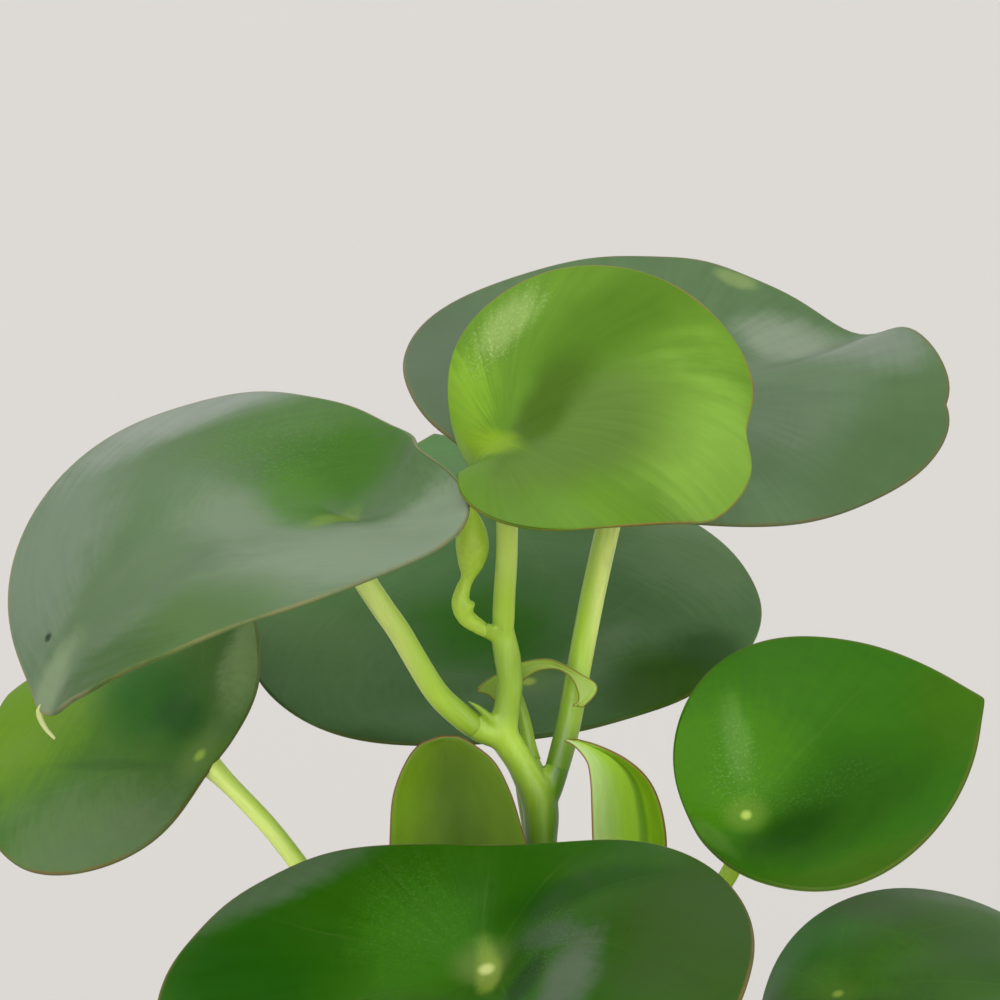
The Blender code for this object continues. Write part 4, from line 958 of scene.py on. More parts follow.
TWIST = [(-6.5, 0, 206.3, 1.2), (-8.7, -1, 207.4, 1.2), (-10.7, -2, 208.9, 1.3),
         (-12.7, -2.5, 210.6, 1.5), (-13.6, -3, 213.0, 1.5), (-13.2, -3, 215.3, 1.25),
         (-12.4, -3, 217.4, 1.15), (-11.9, -3, 219.6, 2.1), (-11.6, -3, 222.5, 2.75),
         (-11.8, -3, 225.5, 2.5), (-12.2, -3, 228.0, 1.6), (-12.7, -3, 230.2, 0.5)]
TWIST_STUB = 4.9
BUDS = [
    [(-6.8, -0.4, 190.6, 1.1), (-8.4, -1.6, 192.6, 0.9), (-10.6, -2.4, 194.9, 0.6),
     (-12.6, -3.0, 196.4, 0.2)],
    [(-7.0, -0.9, 207.2, 0.6), (-8.5, -2.5, 208.9, 0.4), (-9.3, -3.6, 210.4, 0.15)],
]
print(len(STALKS), "stalks")

# %% Melt the stem and the feet of its stalks into one skin
VOXEL = 0.36
SMOOTH_ROUNDS = 14
OVERLAP = 1.6             # a foot runs on this far inside its stalk
# Tone by height along the stem: darker towards the foot, partly for older tissue and partly as painted shade
# under the leaves, with a painted highlight at the fork near 190 mm.
STEM_AGE_SHADE_SHEEN = [(160, 0.0), (172, 0.05), (180, 0.35), (186, 0.80), (190, 1.05), (194, 0.55),
             (203, 0.55), (207, 0.8)]

stalk_lines = {}
for name, (points, stub, radii) in STALKS.items():
    if name in LEAVES:
        points = points + [LEAVES[name]["at"]]
    else:
        run = np.array(points[-1]) - np.array(points[-2])
        points = points + [tuple(np.array(points[-1]) + run * 0.9)]
    stalk_lines[name] = smooth_line(with_radius(points, radii), 1.6)


def tapered_foot(line, stub):
    """The foot of a stalk, drawn in where it lies inside the stalk's own piece."""
    foot = cut_line(line, 0.0, stub + OVERLAP)
    beyond = np.clip((run_length(foot) - stub) / OVERLAP, 0, 1)
    foot[:, 3] *= 1 - 0.35 * beyond
    return close_tip(foot)


roots = [close_tip(smooth_line(STEM, 1.5))]
roots += [tapered_foot(line, STALKS[name][1]) for name, line in stalk_lines.items()]
roots += [close_tip(smooth_line(bud, 0.8)) for bud in BUDS]
roots.append(tapered_foot(smooth_line(HOOK_STALK, 1.5), HOOK_STUB))
roots.append(tapered_foot(smooth_line(TWIST, 1.2), TWIST_STUB))
verts, faces = [], []
for line in roots:
    rings = tube(line, 20)
    faces += tube_faces(len(rings), 20, sum(len(v) for v in verts))
    verts.append(rings.reshape(-1, 3))
stem = make_object("stem_skin", np.concatenate(verts), faces, stalk_tissue)
melt = stem.modifiers.new("melt", "REMESH")
melt.mode = "VOXEL"
melt.voxel_size = VOXEL * MM
ease = stem.modifiers.new("ease", "SMOOTH")
ease.factor = 0.5
ease.iterations = SMOOTH_ROUNDS
ready = stem.evaluated_get(bpy.context.evaluated_depsgraph_get())
stem_mesh = bpy.data.meshes.new_from_object(ready)
stem.modifiers.clear()
stem.data = stem_mesh
stem_mesh.shade_smooth()
if not stem_mesh.materials:
    stem_mesh.materials.append(stalk_tissue)
stem_points = np.array([v.co for v in stem_mesh.vertices]) / MM
height = stem_points[:, 2]
tone = np.interp(height, *np.array(STEM_AGE_SHADE_SHEEN).T)
# the +X side of the stem below the fork is painted darker: painted shade on one side
side = np.clip((stem_points[:, 0] - 0.6) / 2.0, 0, 1) * np.clip((194 - height) / 8, 0, 1)
add_attribute(stem, "tone", tone * (1 - 0.97 * side))
add_attribute(stem, "grain", stem_points * (1.0, 1.0, 0.12))
show(stem, "stem", "stem")
print("stem skin", len(stem_mesh.polygons), "faces")

# %% [markdown]
# ## Free stalks
#
# Each stalk starts a hair wider than the smoothed foot it continues, so no step shows, and
# spreads into a shallow trumpet where it carries the blade. The width of the foot is read
# back from the melted skin rather than guessed.

# %% Stalk pieces
# Tone by height for each stalk, as low, high and top: darker towards the foot, partly for older tissue and
# partly as painted shade; a top above one turns the upper stalk to the pale painted sheen. The side table gives
# one side of some stalks more of that painted sheen.
STALK_AGE_SHADE_SHEEN = {"leaf_01": (172, 216, 1.90), "leaf_02": (182, 220, 2.00), "leaf_03": (190, 222, 1.50),
         "leaf_04": (155, 196, 0.90), "leaf_05": (105, 165, 1.55)}
SHEEN_SIDE = {"leaf_02": 0.5, "leaf_01": -0.3, "leaf_05": -0.3}
TUCK = 1.5                # a stalk starts this far inside the skin of its foot
FLARE = 0.35
FLARE_LENGTH = 4.0
SLANT_REACH = 6.0
STALK_SIDES = 24


def foot_radius(line, at_length, guess):
    """Radius of the melted skin round a line, near one length along it."""
    length = run_length(line)
    point = np.array([np.interp(at_length, length, line[:, c]) for c in range(7)])
    run = point[4:7] / np.linalg.norm(point[4:7])
    away = stem_points - point[:3]
    along = away @ run
    near = (np.abs(along) < 0.4) & (np.linalg.norm(away, axis=1) < guess * 1.5)
    if near.sum() < 8:
        return guess
    return float(np.median(np.linalg.norm(away[near] - np.outer(along[near], run), axis=1)))


def slanted(rings, line, left, leaf):
    """Cut the top of a stalk along the blade that it carries."""
    normal = turn_matrix(*leaf["turn"])[:, 2]
    run = line[-1, 4:7] / np.linalg.norm(line[-1, 4:7])
    lean = math.copysign(max(abs(run @ normal), 0.35), run @ normal)
    offset = rings - line[:, None, :3]
    amount = np.clip(1 - left / SLANT_REACH, 0, 1)[:, None] ** 2
    return rings - ((offset @ normal) / lean * amount)[..., None] * run


for name, line in stalk_lines.items():
    stub, radii = STALKS[name][1:]
    total = run_length(line)[-1]
    end = total - 0.45 if name in LEAVES else total - 1.2
    piece = cut_line(line, stub - TUCK, end)
    length = run_length(piece)
    start_radius = foot_radius(line, stub - TUCK * 0.6, piece[0, 3])
    piece[:, 3] *= 1 + (start_radius / piece[0, 3] - 1) * np.exp(-length / 3.0)
    piece[:, 3] -= 0.15 * np.clip(1 - length / (TUCK * 0.6), 0, 1)
    left = length[-1] - length
    if name in LEAVES:
        piece[:, 3] *= 1 + FLARE * np.exp(-(left / FLARE_LENGTH) ** 2)
    rings = tube(piece, STALK_SIDES)
    side = (rings - piece[:, None, :3])[..., 0] / piece[:, 3, None]
    if name in LEAVES:
        rings = slanted(rings, piece, left, LEAVES[name])
    stalk = make_object(f"{name}_stalk_skin", rings.reshape(-1, 3),
                        tube_faces(len(rings), STALK_SIDES), stalk_tissue)
    # tone by height, darker at the foot, with painted sheen above one and more on one side
    low, high, top = STALK_AGE_SHADE_SHEEN.get(name, (105, 150, 1.0))
    tone = np.clip((piece[:, 2] - low) / (high - low), 0.1, 1)[:, None] * top
    tone = tone * (1 + SHEEN_SIDE.get(name, 0) * side)
    add_attribute(stalk, "tone", tone.ravel())
    turn = np.tile(2 * math.pi * np.arange(STALK_SIDES) / STALK_SIDES, len(rings))
    grain = np.column_stack([2 * np.cos(turn), 2 * np.sin(turn), np.repeat(length * 0.12, STALK_SIDES)])
    add_attribute(stalk, "grain", grain + 10 * int(name[-2:]))
    show(stalk, "stalk", f"{name}_stalk")
print("stalks done")

# %% [markdown]
# ## Young folded leaves
#
# Two small leaves stand upright by the stem, still folded along the middle. A folded leaf is
# easier to give as rows of edge points than as an umbrella: each row has its left and right
# edge and how deep the fold lies, and a smooth curve through the rows makes the sheet.

# %% Young leaf tables
YOUNG = {
    "leaf_09": [(191.6, -16.9, -13.9, -9.0, -8.8, -9.0), (190.3, -20.4, -11.6, -9.6, -8.2, -9.0),
                (187.2, -22.8, -8.0, -10.4, -7.2, -9.0), (182.0, -24.7, -5.4, -11.0, -6.2, -8.8),
                (176.0, -25.2, -3.6, -11.4, -5.9, -8.4), (170.0, -25.2, -2.2, -11.6, -6.0, -8.2),
                (164.0, -24.2, -2.4, -11.4, -6.6, -8.4), (159.5, -21.0, -5.2, -10.8, -7.6, -8.8),
                (157.0, -16.9, -9.5, -9.8, -8.8, -9.4)],
    "leaf_10": [(190.3, 3.9, 6.0, -6.4, -6.2, -6.2), (189.3, 5.7, 9.4, -7.0, -6.0, -6.2),
                (187.0, 7.6, 14.0, -8.0, -5.2, -6.4), (184.0, 8.2, 17.4, -8.8, -4.2, -6.8),
                (180.0, 8.4, 19.5, -9.2, -3.2, -7.2), (174.0, 8.6, 20.7, -9.2, -2.6, -7.4),
                (168.0, 9.0, 20.5, -8.8, -2.6, -7.0), (163.0, 10.2, 18.6, -7.8, -3.2, -6.2),
                (159.5, 12.4, 15.8, -5.8, -4.6, -5.2)],
}
YOUNG_FOLD = {"leaf_09": 0.45, "leaf_10": 0.70}
YOUNG_COLUMNS = 28
YOUNG_ROWS = 8            # rows added between two given ones
YOUNG_THICK = 0.8


def smooth_rows(rows, between):
    """Catmull-Rom through rows of numbers."""
    rows = np.array(rows, float)
    ext = np.concatenate([2 * rows[:1] - rows[1:2], rows, 2 * rows[-1:] - rows[-2:-1]])
    out = []
    for i in range(1, len(ext) - 2):
        p0, p1, p2, p3 = ext[i - 1:i + 3]
        for t in np.arange(between) / between:
            out.append(0.5 * (2 * p1 + (p2 - p0) * t + (2 * p0 - 5 * p1 + 4 * p2 - p3) * t ** 2
                              + (3 * p1 - p0 - 3 * p2 + p3) * t ** 3))
    return np.array(out + [rows[-1]])


def young_grid(rows, fold, columns):
    """Sheet of a folded leaf, and its share from the left edge to the right one."""
    share = np.linspace(0, 1, columns + 1)
    rows = smooth_rows(rows, YOUNG_ROWS)
    grid = []
    for z, left, right, y0, y1, y2 in rows:
        before = np.clip(1 - share / fold, 0, 1) ** 1.6
        after = np.clip((share - fold) / (1 - fold), 0, 1) ** 1.6
        y = y1 + (y0 - y1) * before + (y2 - y1) * after
        grid.append(np.stack([left + (right - left) * share, y, np.full_like(share, z)], -1))
    return np.array(grid), share


def sheet_object(name, grid, material, thick, edge):
    """Closed sheet from rows and columns of points, with a round edge all the way round."""
    rows, cols = grid.shape[:2]
    normals = np.cross(np.gradient(grid, axis=0), np.gradient(grid, axis=1))
    normals /= np.maximum(np.linalg.norm(normals, axis=2, keepdims=True), 1e-9)
    across = np.minimum(np.arange(cols), np.arange(cols)[::-1])[None, :]
    down = np.minimum(np.arange(rows), np.arange(rows)[::-1])[:, None]
    inward = np.clip(np.minimum(across, down) / 3.0, 0, 1)
    half = (edge + (thick - edge) * inward)[..., None] / 2
    top, bottom = grid + normals * half, grid - normals * half
    size = rows * cols
    rim = list(range(cols)) + [i * cols + cols - 1 for i in range(1, rows)]
    rim += [(rows - 1) * cols + j for j in range(cols - 2, -1, -1)]
    rim += [i * cols for i in range(rows - 2, 0, -1)]
    middle = grid.reshape(-1, 3)
    ahead, back = middle[np.roll(rim, -1)], middle[np.roll(rim, 1)]
    along = (ahead - back) / np.linalg.norm(ahead - back, axis=1, keepdims=True)
    outward = np.cross(along, normals.reshape(-1, 3)[rim])
    centre = middle.mean(axis=0)
    if ((middle[rim] - centre) * outward).sum() < 0:
        outward = -outward
    lip = middle[rim] + outward * edge * 0.45
    verts = np.concatenate([top.reshape(-1, 3), bottom.reshape(-1, 3), lip])
    faces = []
    for i in range(rows - 1):
        for j in range(cols - 1):
            a = i * cols + j
            faces.append((a, a + 1, a + cols + 1, a + cols))
            faces.append((size + a, size + a + cols, size + a + cols + 1, size + a + 1))
    count = len(rim)
    for k in range(count):
        n = (k + 1) % count
        faces.append((rim[k], rim[n], 2 * size + n, 2 * size + k))
        faces.append((2 * size + k, 2 * size + n, size + rim[n], size + rim[k]))
    made = make_object(name, verts, faces, material)
    return made, np.array(rim)


print("sheet builder ready")

# %% [markdown]
# ## Colour of young tissue
#
# Young leaves are thin and yellow green, with a fine reddish brown margin. Their colour is
# written along two directions stored on the mesh, across the blade and up it, so one blade can
# be olive on one side and bright on the other: painted light shining through the blade, with
# painted shade on the side that turns away and in a fold.


# %% Young leaf material
def young_skin(name, left, middle, right, rim, through=0.3, rough=0.4, fold_shade=None, crown=None):
    """Three colours across the blade, a brown rim, and if asked painted fold shade and a crown."""
    made, recipe, shader, output = new_material(name)
    place = recipe.put("ShaderNodeAttribute", attribute_name="place").outputs["Vector"]
    border = recipe.put("ShaderNodeAttribute", attribute_name="border").outputs["Fac"]
    axes = recipe.put("ShaderNodeSeparateXYZ", {0: place}).outputs
    group = recipe.put("ShaderNodeGroup", node_tree=bpy.data.node_groups["Stalk tissue"])
    spread = recipe.put("ShaderNodeVectorMath", {0: place, 1: (7.0, 4.0, 1.0)},
                        operation="MULTIPLY").outputs[0]
    feed(recipe, spread, group.inputs["Grain"])
    marks = group.outputs
    colour = recipe.blend(recipe.step(axes[0], 0.05, 0.5), left, middle)
    colour = recipe.blend(recipe.step(axes[0], 0.5, 0.95), colour, right)
    if fold_shade:
        low, high, tint, weight = fold_shade
        mask = recipe.math("MULTIPLY", recipe.step(axes[0], low, low + 0.09),
                           recipe.step(axes[0], high - 0.06, high, 1.0, 0.0))
        colour = recipe.blend(recipe.math("MULTIPLY", mask, weight), colour, tint)
    if crown:
        colour = recipe.blend(recipe.step(axes[1], 0.05, 0.4, 0.8, 0.0), colour, crown)
    lively = recipe.step(marks["Streaks"], 0.3, 0.72, 0.95, 1.05)
    colour = recipe.blend(1.0, colour, recipe.put("ShaderNodeCombineXYZ",
                                                  {0: lively, 1: lively, 2: lively}).outputs[0],
                          "MULTIPLY")
    colour = recipe.blend(recipe.step(border, 0.7, 1.0), colour, rim)
    feed(recipe, colour, shader.inputs["Base Color"])
    feed(recipe, recipe.step(marks["Streaks"], 0.3, 0.7, rough, rough + 0.1),
         shader.inputs["Roughness"])
    bump = recipe.put("ShaderNodeBump", {"Height": marks["Height"], "Strength": 0.4,
                                         "Distance": 0.0004}).outputs[0]
    feed(recipe, bump, shader.inputs["Normal"])
    glass = recipe.put("ShaderNodeBsdfTranslucent", {"Normal": bump})
    feed(recipe, colour, glass.inputs["Color"])
    mixed = recipe.put("ShaderNodeMixShader", {0: through, 1: shader.outputs[0], 2: glass.outputs[0]})
    recipe.tree.links.new(mixed.outputs[0], output.inputs["Surface"])
    return made


RED_RIM = (0.24, 0.09, 0.03)
# leaf_09: its bright left colour is painted light shining through the thin blade. leaf_10: its darker right
# colour is painted shade where the blade turns from the light, and its stripe is painted shade in the fold.
YOUNG_SKINS = {
    "leaf_09": young_skin("leaf_09_skin", (0.18, 0.34, 0.001), (0.080, 0.17, 0.002),
                          (0.12, 0.23, 0.003), RED_RIM, crown=(0.16, 0.28, 0.012)),
    "leaf_10": young_skin("leaf_10_skin", (0.50, 0.70, 0.22), (0.38, 0.63, 0.035),
                          (0.22, 0.42, 0.006), RED_RIM,
                          fold_shade=(0.60, 0.82, (0.12, 0.28, 0.003), 0.85)),
}


def place_on(thing, grid, rim):
    """Attributes of a sheet: place across and up, and how near the edge it is."""
    rows, cols = grid.shape[:2]
    across, up = np.meshgrid(np.linspace(0, 1, cols), np.linspace(0, 1, rows))
    face = np.stack([across, up, np.zeros_like(up)], -1).reshape(-1, 3)
    near = np.minimum(np.minimum(np.arange(cols), np.arange(cols)[::-1])[None, :],
                      np.minimum(np.arange(rows), np.arange(rows)[::-1])[:, None])
    border = np.where(near == 0, 0.8, 0.0).ravel()
    add_attribute(thing, "place", np.concatenate([face, face, face[rim]]))
    add_attribute(thing, "border", np.concatenate([border, border, np.ones(len(rim))]))


for name, rows in YOUNG.items():
    grid, share = young_grid(rows, YOUNG_FOLD[name], YOUNG_COLUMNS)
    sheet, rim = sheet_object(f"{name}_skin", grid, YOUNG_SKINS[name], YOUNG_THICK, 0.5)
    place_on(sheet, grid, rim)
    show(sheet, "young_leaf", f"{name}_blade")
    print(name, len(sheet.data.polygons), "faces")

# %% [markdown]
# ## The hooked leaf
#
# Behind the stem a very small leaf bends over like a hook and shows its folded brown end. It
# is a ribbon between two edges, on a thin stalk that is one piece with it.

# %% Hooked leaf
HOOK = [
    ((-10.6, 3.0, 196.9), (-10.6, 3.0, 196.4)), ((-9.1, 5.0, 197.8), (-9.1, 5.0, 195.4)),
    ((-7.4, 6.5, 198.5), (-7.4, 6.5, 193.8)), ((-5.4, 6.5, 199.8), (-5.4, 6.5, 195.4)),
    ((-3.4, 6.0, 200.6), (-3.4, 6.0, 197.4)), ((-0.7, 5.5, 201.2), (-0.7, 5.5, 199.4)),
    ((1.6, 4.5, 201.4), (2.3, 4.5, 200.0)), ((4.3, 3.0, 200.6), (4.3, 3.0, 199.5)),
    ((6.6, 2.0, 199.5), (5.5, 2.0, 198.4)), ((9.0, 1.2, 198.1), (6.2, 1.2, 196.8)),
    ((8.9, 0.6, 196.5), (6.3, 0.6, 195.4)), ((6.9, 0.2, 194.4), (5.4, 0.2, 194.6)),
]
HOOK_COLUMNS = 8
HOOK_BULGE = 0.5
edges = smooth_rows([np.concatenate(pair) for pair in HOOK], 6)
across = np.linspace(0, 1, HOOK_COLUMNS + 1)[None, :, None]
grid = edges[:, None, :3] * (1 - across) + edges[:, None, 3:] * across
grid[..., 1] += HOOK_BULGE * np.sin(math.pi * across[..., 0])
hook_skin = young_skin("leaf_11_skin", (0.45, 0.65, 0.10), (0.40, 0.56, 0.10), (0.42, 0.58, 0.10),
                       (0.30, 0.26, 0.04))
hook, rim = sheet_object("leaf_11_skin", grid, hook_skin, 0.7, 0.45)
place_on(hook, grid, rim)
show(hook, "young_leaf", "leaf_11")
hook_line = smooth_line(HOOK_STALK, 1.2)
hook_line = cut_line(hook_line, HOOK_STUB, run_length(hook_line)[-1])
rings = tube(close_tip(hook_line), 16)
hook_stalk = make_object("leaf_11_stalk_skin", rings.reshape(-1, 3), tube_faces(len(rings), 16),
                         stalk_tissue)
add_attribute(hook_stalk, "tone", np.full(len(rings) * 16, 0.55))
add_attribute(hook_stalk, "grain", rings.reshape(-1, 3) * (1, 1, 0.12))
show(hook_stalk, "stalk")
print("hooked leaf", len(hook.data.polygons), "faces")

# %% [markdown]
# ## The twisted bud leaf
#
# The youngest leaf of all is still rolled. Its stalk makes an elbow, pinches, and swells into
# a slim closed blade whose free edge winds round it. A round tube with a groove winding along it
# gives the rolled body; a raised ridge along a winding line gives the free edge.

# %% Twisted leaf
TWIST_SIDES = 36
KNOB_HEIGHT = 212.4
line = smooth_line(TWIST, 0.35)
line = close_tip(cut_line(line, TWIST_STUB - TUCK, run_length(line)[-1]))
line[:, 3] -= 0.15 * np.clip(1 - run_length(line) / TUCK, 0, 1)
rings = tube(line, TWIST_SIDES)
length = run_length(line)
turn = 2 * math.pi * np.arange(TWIST_SIDES) / TWIST_SIDES
side = (rings - line[:, None, :3])[..., 0] / line[:, 3, None]
blade_part = np.clip((line[:, 2] - 217.0) / 3.0, 0, 1)[:, None]
wind = 2.4 + 0.12 * length[:, None]
fold = np.exp(-((np.angle(np.exp(1j * (turn[None, :] - wind)))) / 0.22) ** 2)
groove = np.exp(-((np.angle(np.exp(1j * (turn[None, :] - wind - 0.6)))) / 0.3) ** 2)
knob = np.exp(-((line[:, 2, None] - KNOB_HEIGHT) / 1.2) ** 2) * np.clip(side, 0, 1) ** 1.5
swell = 1 + blade_part * (0.14 * fold - 0.30 * groove) + 0.6 * knob
rings = line[:, None, :3] + (rings - line[:, None, :3]) * swell[..., None]
bud_skin = young_skin("leaf_12_skin", (0.64, 0.84, 0.10), (0.56, 0.78, 0.08), (0.68, 0.88, 0.14),
                      (0.30, 0.34, 0.02))
twist = make_object("leaf_12_skin", rings.reshape(-1, 3), tube_faces(len(rings), TWIST_SIDES),
                    bud_skin)
place = np.stack([np.broadcast_to(turn / (2 * math.pi), swell.shape),
                  np.broadcast_to(length[:, None] / 8, swell.shape), np.zeros_like(swell)], -1)
add_attribute(twist, "place", place.reshape(-1, 3))
add_attribute(twist, "border", (blade_part * (0.5 + 0.5 * groove) * np.clip(2 * groove, 0, 1)).ravel())
show(twist, "young_leaf", "leaf_12")
print("twisted leaf", len(twist.data.polygons), "faces")

# %% [markdown]
# ## The drip tip
#
# Rain runs off these leaves at their points. The large hanging leaf ends in a pale yellow tip
# a few millimetres long, a little curled, which grows out of its margin.

# %% Drip tip
TIP_REACH = [(1.2, 0.0, 1.4, 0.75), (0.0, 0.0, 0.0, 0.64), (0.2, -0.2, -1.3, 0.52),
             (1.0, -0.4, -2.8, 0.42), (2.3, -0.6, -4.3, 0.28)]
hanging = LEAVES["leaf_01"]
tip_point = blade_surface(hanging, 4, [STEPS])[0][-1][0]
tip_line = close_tip(smooth_line([(*(tip_point + np.array(p[:3])), p[3]) for p in TIP_REACH], 0.6))
rings = tube(tip_line, 14)
tip_tissue = tissue("tip_tissue", (0.42, 0.46, 0.14), (0.62, 0.66, 0.30), (0.7, 0.7, 0.4), 0.4, 0.2)
tip = make_object("leaf_01_tip", rings.reshape(-1, 3), tube_faces(len(rings), 14), tip_tissue)
add_attribute(tip, "tone", np.repeat(np.linspace(0.2, 1, len(rings)), 14))
add_attribute(tip, "grain", rings.reshape(-1, 3))
show(tip, "leaf")
print("drip tip starts at", tip_point.round(1))

# %% [markdown]
# ## Potting soil
#
# Loose soil is a heap of crumbs, bits of bark and white grains. A displaced disc carries the
# large lumps, and crumbs of three sorts are scattered on it by a seeded draw, then joined, so
# that the surface stays rough in outline and not only in shading.

# %% Soil surface
POT_HEIGHT, POT_BASE_R, POT_TOP_R, POT_RIM_R = 105.0, 42.0, 58.5, 61.0
POT_RIM_HEIGHT, POT_WALL, POT_FLOOR, POT_LIP, POT_FOOT_ROUND = 20.0, 4.0, 5.0, 5.6, 2.0
SOIL_TOP, SOIL_MOUND = 94.0, 3.0


def pot_inner_radius(z):
    low = (POT_BASE_R - POT_WALL, POT_FLOOR + POT_FOOT_ROUND)
    high = (POT_RIM_R - POT_LIP, POT_HEIGHT - POT_FOOT_ROUND)
    return low[0] + (high[0] - low[0]) * (z - low[1]) / (high[1] - low[1])


def soil_height(x, y):
    """Heaped surface with lumps, in mm."""
    share = min(1.0, math.hypot(x, y) / pot_inner_radius(SOIL_TOP))
    lumps = noise.fractal(Vector((x, y, 3.0)) / 9.0, 0.6, 2.1, 5)
    return SOIL_TOP + SOIL_MOUND * (1 - share) ** 0.8 + 1.1 * lumps


SOIL_SPOKES, SOIL_RINGS = 150, 46
reach = pot_inner_radius(SOIL_TOP) + 0.1
verts, faces = [(0.0, 0.0, soil_height(0, 0))], []
for k in range(1, SOIL_RINGS + 1):
    for j in range(SOIL_SPOKES):
        a = 2 * math.pi * j / SOIL_SPOKES
        x, y = reach * k / SOIL_RINGS * math.cos(a), reach * k / SOIL_RINGS * math.sin(a)
        verts.append((x, y, soil_height(x, y)))
for radius, z in ((pot_inner_radius(POT_FLOOR + 3), POT_FLOOR + 3), (20.0, POT_FLOOR + 0.4)):
    for j in range(SOIL_SPOKES):
        a = 2 * math.pi * j / SOIL_SPOKES
        verts.append(((radius - 0.1) * math.cos(a), (radius - 0.1) * math.sin(a), z))
faces += [(0, 1 + j, 1 + (j + 1) % SOIL_SPOKES) for j in range(SOIL_SPOKES)]
for k in range(SOIL_RINGS + 1):
    a, b = 1 + k * SOIL_SPOKES, 1 + (k + 1) * SOIL_SPOKES
    faces += [(a + j, b + j, b + (j + 1) % SOIL_SPOKES, a + (j + 1) % SOIL_SPOKES)
              for j in range(SOIL_SPOKES)]
faces.append(tuple(1 + (SOIL_RINGS + 1) * SOIL_SPOKES + j for j in range(SOIL_SPOKES)))

soil_paint, recipe, shader, _ = new_material("soil_paint")
where = recipe.put("ShaderNodeVectorMath", {0: recipe.put("ShaderNodeTexCoord").outputs["Object"],
                                            1: (1000.0, 1000.0, 1000.0)}, operation="MULTIPLY").outputs[0]
coarse = recipe.noise(where, 0.35, 5.0, 0.65)
fine = recipe.noise(where, 2.2, 4.0, 0.7)
colour = recipe.blend(recipe.step(coarse, 0.35, 0.65), (0.014, 0.009, 0.006), (0.055, 0.034, 0.019))
colour = recipe.blend(recipe.step(fine, 0.62, 0.74, 0.0, 0.6), colour, (0.13, 0.085, 0.05))
feed(recipe, colour, shader.inputs["Base Color"])
feed(recipe, recipe.step(fine, 0.3, 0.7, 0.8, 0.98), shader.inputs["Roughness"])
bump = recipe.put("ShaderNodeBump", {"Height": fine, "Strength": 0.8, "Distance": 0.0008})
feed(recipe, bump.outputs[0], shader.inputs["Normal"])
soil = make_object("soil_body", verts, faces, soil_paint)
show(soil, "soil", "soil")
print("soil", len(soil.data.polygons), "faces")

# %% Crumbs, bark and white grains
CRUMBS = {"soil_crumbs": (620, 0.7, 1.9), "soil_bark": (110, 1.6, 3.4), "soil_grains": (130, 0.7, 1.5)}
CRUMB_SHAPES = {"soil_crumbs": (1.0, 0.9, 0.75), "soil_bark": (1.0, 0.45, 0.22),
                "soil_grains": (1.0, 0.9, 0.85)}


def plain_paint(name, dark, light, rough):
    """Simple grainy material for the crumbs."""
    made, recipe, shader, _ = new_material(name)
    place = recipe.put("ShaderNodeVectorMath", {0: recipe.put("ShaderNodeTexCoord").outputs["Object"],
                                                1: (1000.0, 1000.0, 1000.0)},
                       operation="MULTIPLY").outputs[0]
    speck = recipe.noise(place, 0.9, 4.0, 0.7)
    feed(recipe, recipe.blend(recipe.step(speck, 0.35, 0.65), dark, light), shader.inputs["Base Color"])
    feed(recipe, recipe.step(speck, 0.3, 0.7, rough - 0.08, rough + 0.08), shader.inputs["Roughness"])
    bump = recipe.put("ShaderNodeBump", {"Height": speck, "Strength": 0.6, "Distance": 0.0004})
    feed(recipe, bump.outputs[0], shader.inputs["Normal"])
    return made


CRUMB_PAINTS = {
    "soil_crumbs": plain_paint("crumb_paint", (0.016, 0.010, 0.007), (0.07, 0.042, 0.024), 0.9),
    "soil_bark": plain_paint("bark_paint", (0.05, 0.026, 0.014), (0.15, 0.085, 0.045), 0.85),
    "soil_grains": plain_paint("grain_paint", (0.52, 0.50, 0.46), (0.74, 0.72, 0.68), 0.8),
}
draw = np.random.default_rng(17)
ball = bmesh.new()
bmesh.ops.create_icosphere(ball, subdivisions=1, radius=1.0)
ball_points = np.array([v.co for v in ball.verts])
ball_faces = [tuple(v.index for v in f.verts) for f in ball.faces]
ball.free()
for kind, (count, small, large) in CRUMBS.items():
    verts, faces = [], []
    while len(faces) < count * len(ball_faces):
        a, r = draw.uniform(0, 2 * math.pi), (reach - 2.5) * math.sqrt(draw.uniform(0.0, 1))
        x, y = r * math.cos(a), r * math.sin(a)
        size = draw.uniform(small, large) / 2 * 1.6
        bent = ball_points * (1 + draw.uniform(-0.28, 0.28, (len(ball_points), 1)))
        bent = bent * np.array(CRUMB_SHAPES[kind]) * size
        spin, tip_over = draw.uniform(0, 360), draw.uniform(-35, 35)
        bent = bent @ turn_matrix(spin, tip_over, draw.uniform(-35, 35)).T
        if math.hypot(x - 0.8, y - 2.0) < 4.5:
            continue
        faces += [tuple(len(verts) + i for i in f) for f in ball_faces]
        verts += list(bent + np.array([x, y, soil_height(x, y) + 0.12 * size]))
    crumbs = make_object(kind, verts, faces, CRUMB_PAINTS[kind])
    show(crumbs, "soil")
    print(kind, count)

# %% [markdown]
# ## The pot
#
# A plain turned pot with a soft rim, off white and satin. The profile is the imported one, with
# its corners rounded by short arcs; turning it in many steps hides the facets. Fine specks and
# a slight unevenness of the glaze keep it from looking like plastic.

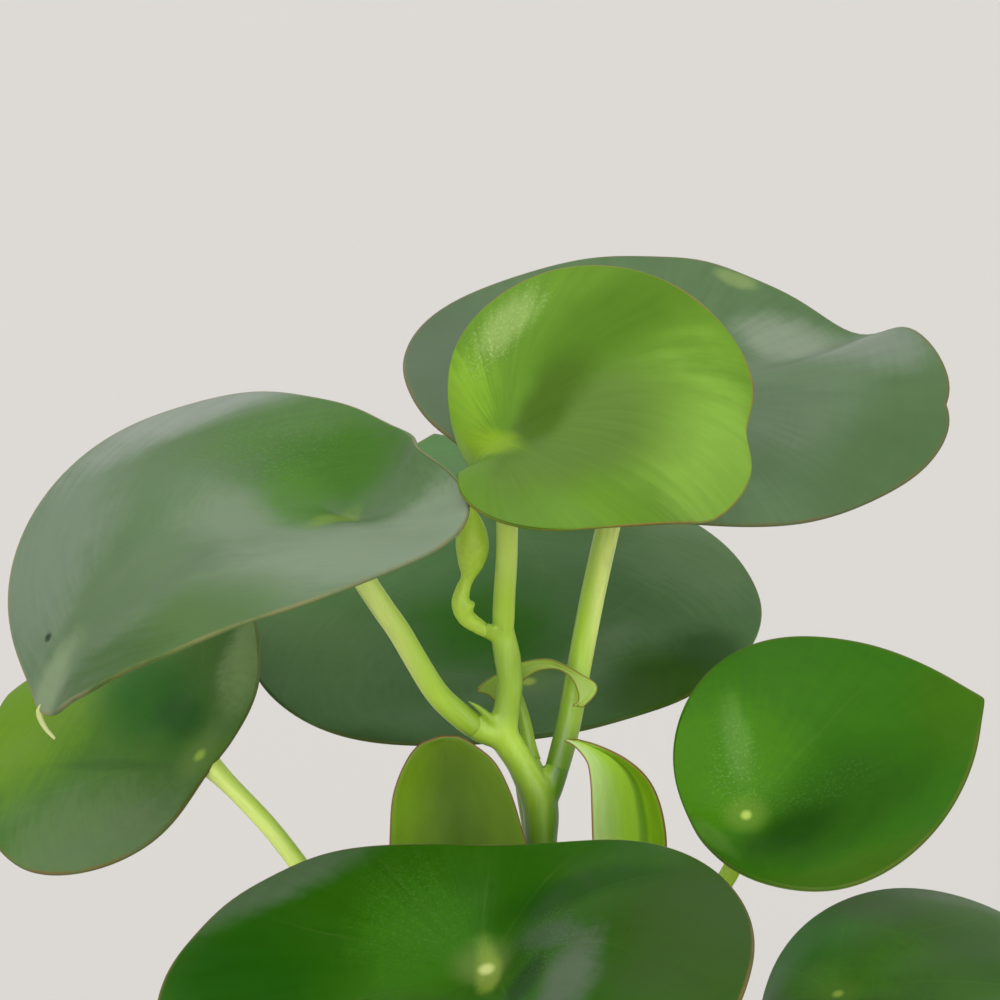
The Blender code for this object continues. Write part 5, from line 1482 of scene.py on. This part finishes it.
# %% Pot
POT_TURNS = 160
ROUND_STEPS = 5
rim_foot = POT_HEIGHT - POT_RIM_HEIGHT
corners = [
    ((0.0, POT_FLOOR), 0), ((POT_BASE_R - POT_WALL, POT_FLOOR), 3.0),
    ((POT_RIM_R - POT_LIP, POT_HEIGHT), 2.0), ((POT_RIM_R, POT_HEIGHT), 2.0),
    ((POT_RIM_R - 0.6, rim_foot), 0.8), ((POT_TOP_R - 1.4, rim_foot), 0.6),
    ((POT_BASE_R, 0.0), 1.4), ((0.0, 0.0), 0),
]
profile = []
for k, (corner, radius) in enumerate(corners):
    corner = np.array(corner)
    if radius == 0:
        profile.append(corner)
        continue
    before, after = np.array(corners[k - 1][0]), np.array(corners[k + 1][0])
    to_before = (before - corner) / np.linalg.norm(before - corner)
    to_after = (after - corner) / np.linalg.norm(after - corner)
    for t in np.linspace(0, 1, ROUND_STEPS + 1):
        first, last = corner + to_before * radius, corner + to_after * radius
        profile.append((1 - t) ** 2 * first + 2 * t * (1 - t) * corner + t ** 2 * last)
verts, faces = [], []
for radius, z in profile[1:-1]:
    verts += [(radius * math.cos(2 * math.pi * j / POT_TURNS), radius * math.sin(2 * math.pi * j / POT_TURNS), z)
              for j in range(POT_TURNS)]
for k in range(len(profile) - 3):
    a, b = k * POT_TURNS, (k + 1) * POT_TURNS
    faces += [(a + j, b + j, b + (j + 1) % POT_TURNS, a + (j + 1) % POT_TURNS) for j in range(POT_TURNS)]
faces.append(tuple(range(POT_TURNS)))
faces.append(tuple((len(profile) - 3) * POT_TURNS + j for j in range(POT_TURNS)))

pot_paint, recipe, shader, _ = new_material("pot_paint")
where = recipe.put("ShaderNodeVectorMath", {0: recipe.put("ShaderNodeTexCoord").outputs["Object"],
                                            1: (1000.0, 1000.0, 1000.0)}, operation="MULTIPLY").outputs[0]
cloud = recipe.noise(where, 0.02, 3.0)
speck = recipe.noise(where, 0.55, 1.0, 0.3)
colour = recipe.blend(recipe.step(cloud, 0.35, 0.65), (0.60, 0.575, 0.53), (0.66, 0.635, 0.59))
colour = recipe.blend(recipe.step(speck, 0.72, 0.78, 0.0, 0.7), colour, (0.24, 0.20, 0.16))
feed(recipe, colour, shader.inputs["Base Color"])
feed(recipe, recipe.step(cloud, 0.3, 0.7, 0.38, 0.5), shader.inputs["Roughness"])
bump = recipe.put("ShaderNodeBump", {"Height": recipe.noise(where, 0.12, 3.0), "Strength": 0.25,
                                     "Distance": 0.001})
feed(recipe, bump.outputs[0], shader.inputs["Normal"])
pot = make_object("pot_body", verts, faces, pot_paint)
show(pot, "pot", "pot")
pot.data.set_sharp_from_angle(angle=math.radians(40))
print("pot", len(pot.data.polygons), "faces")
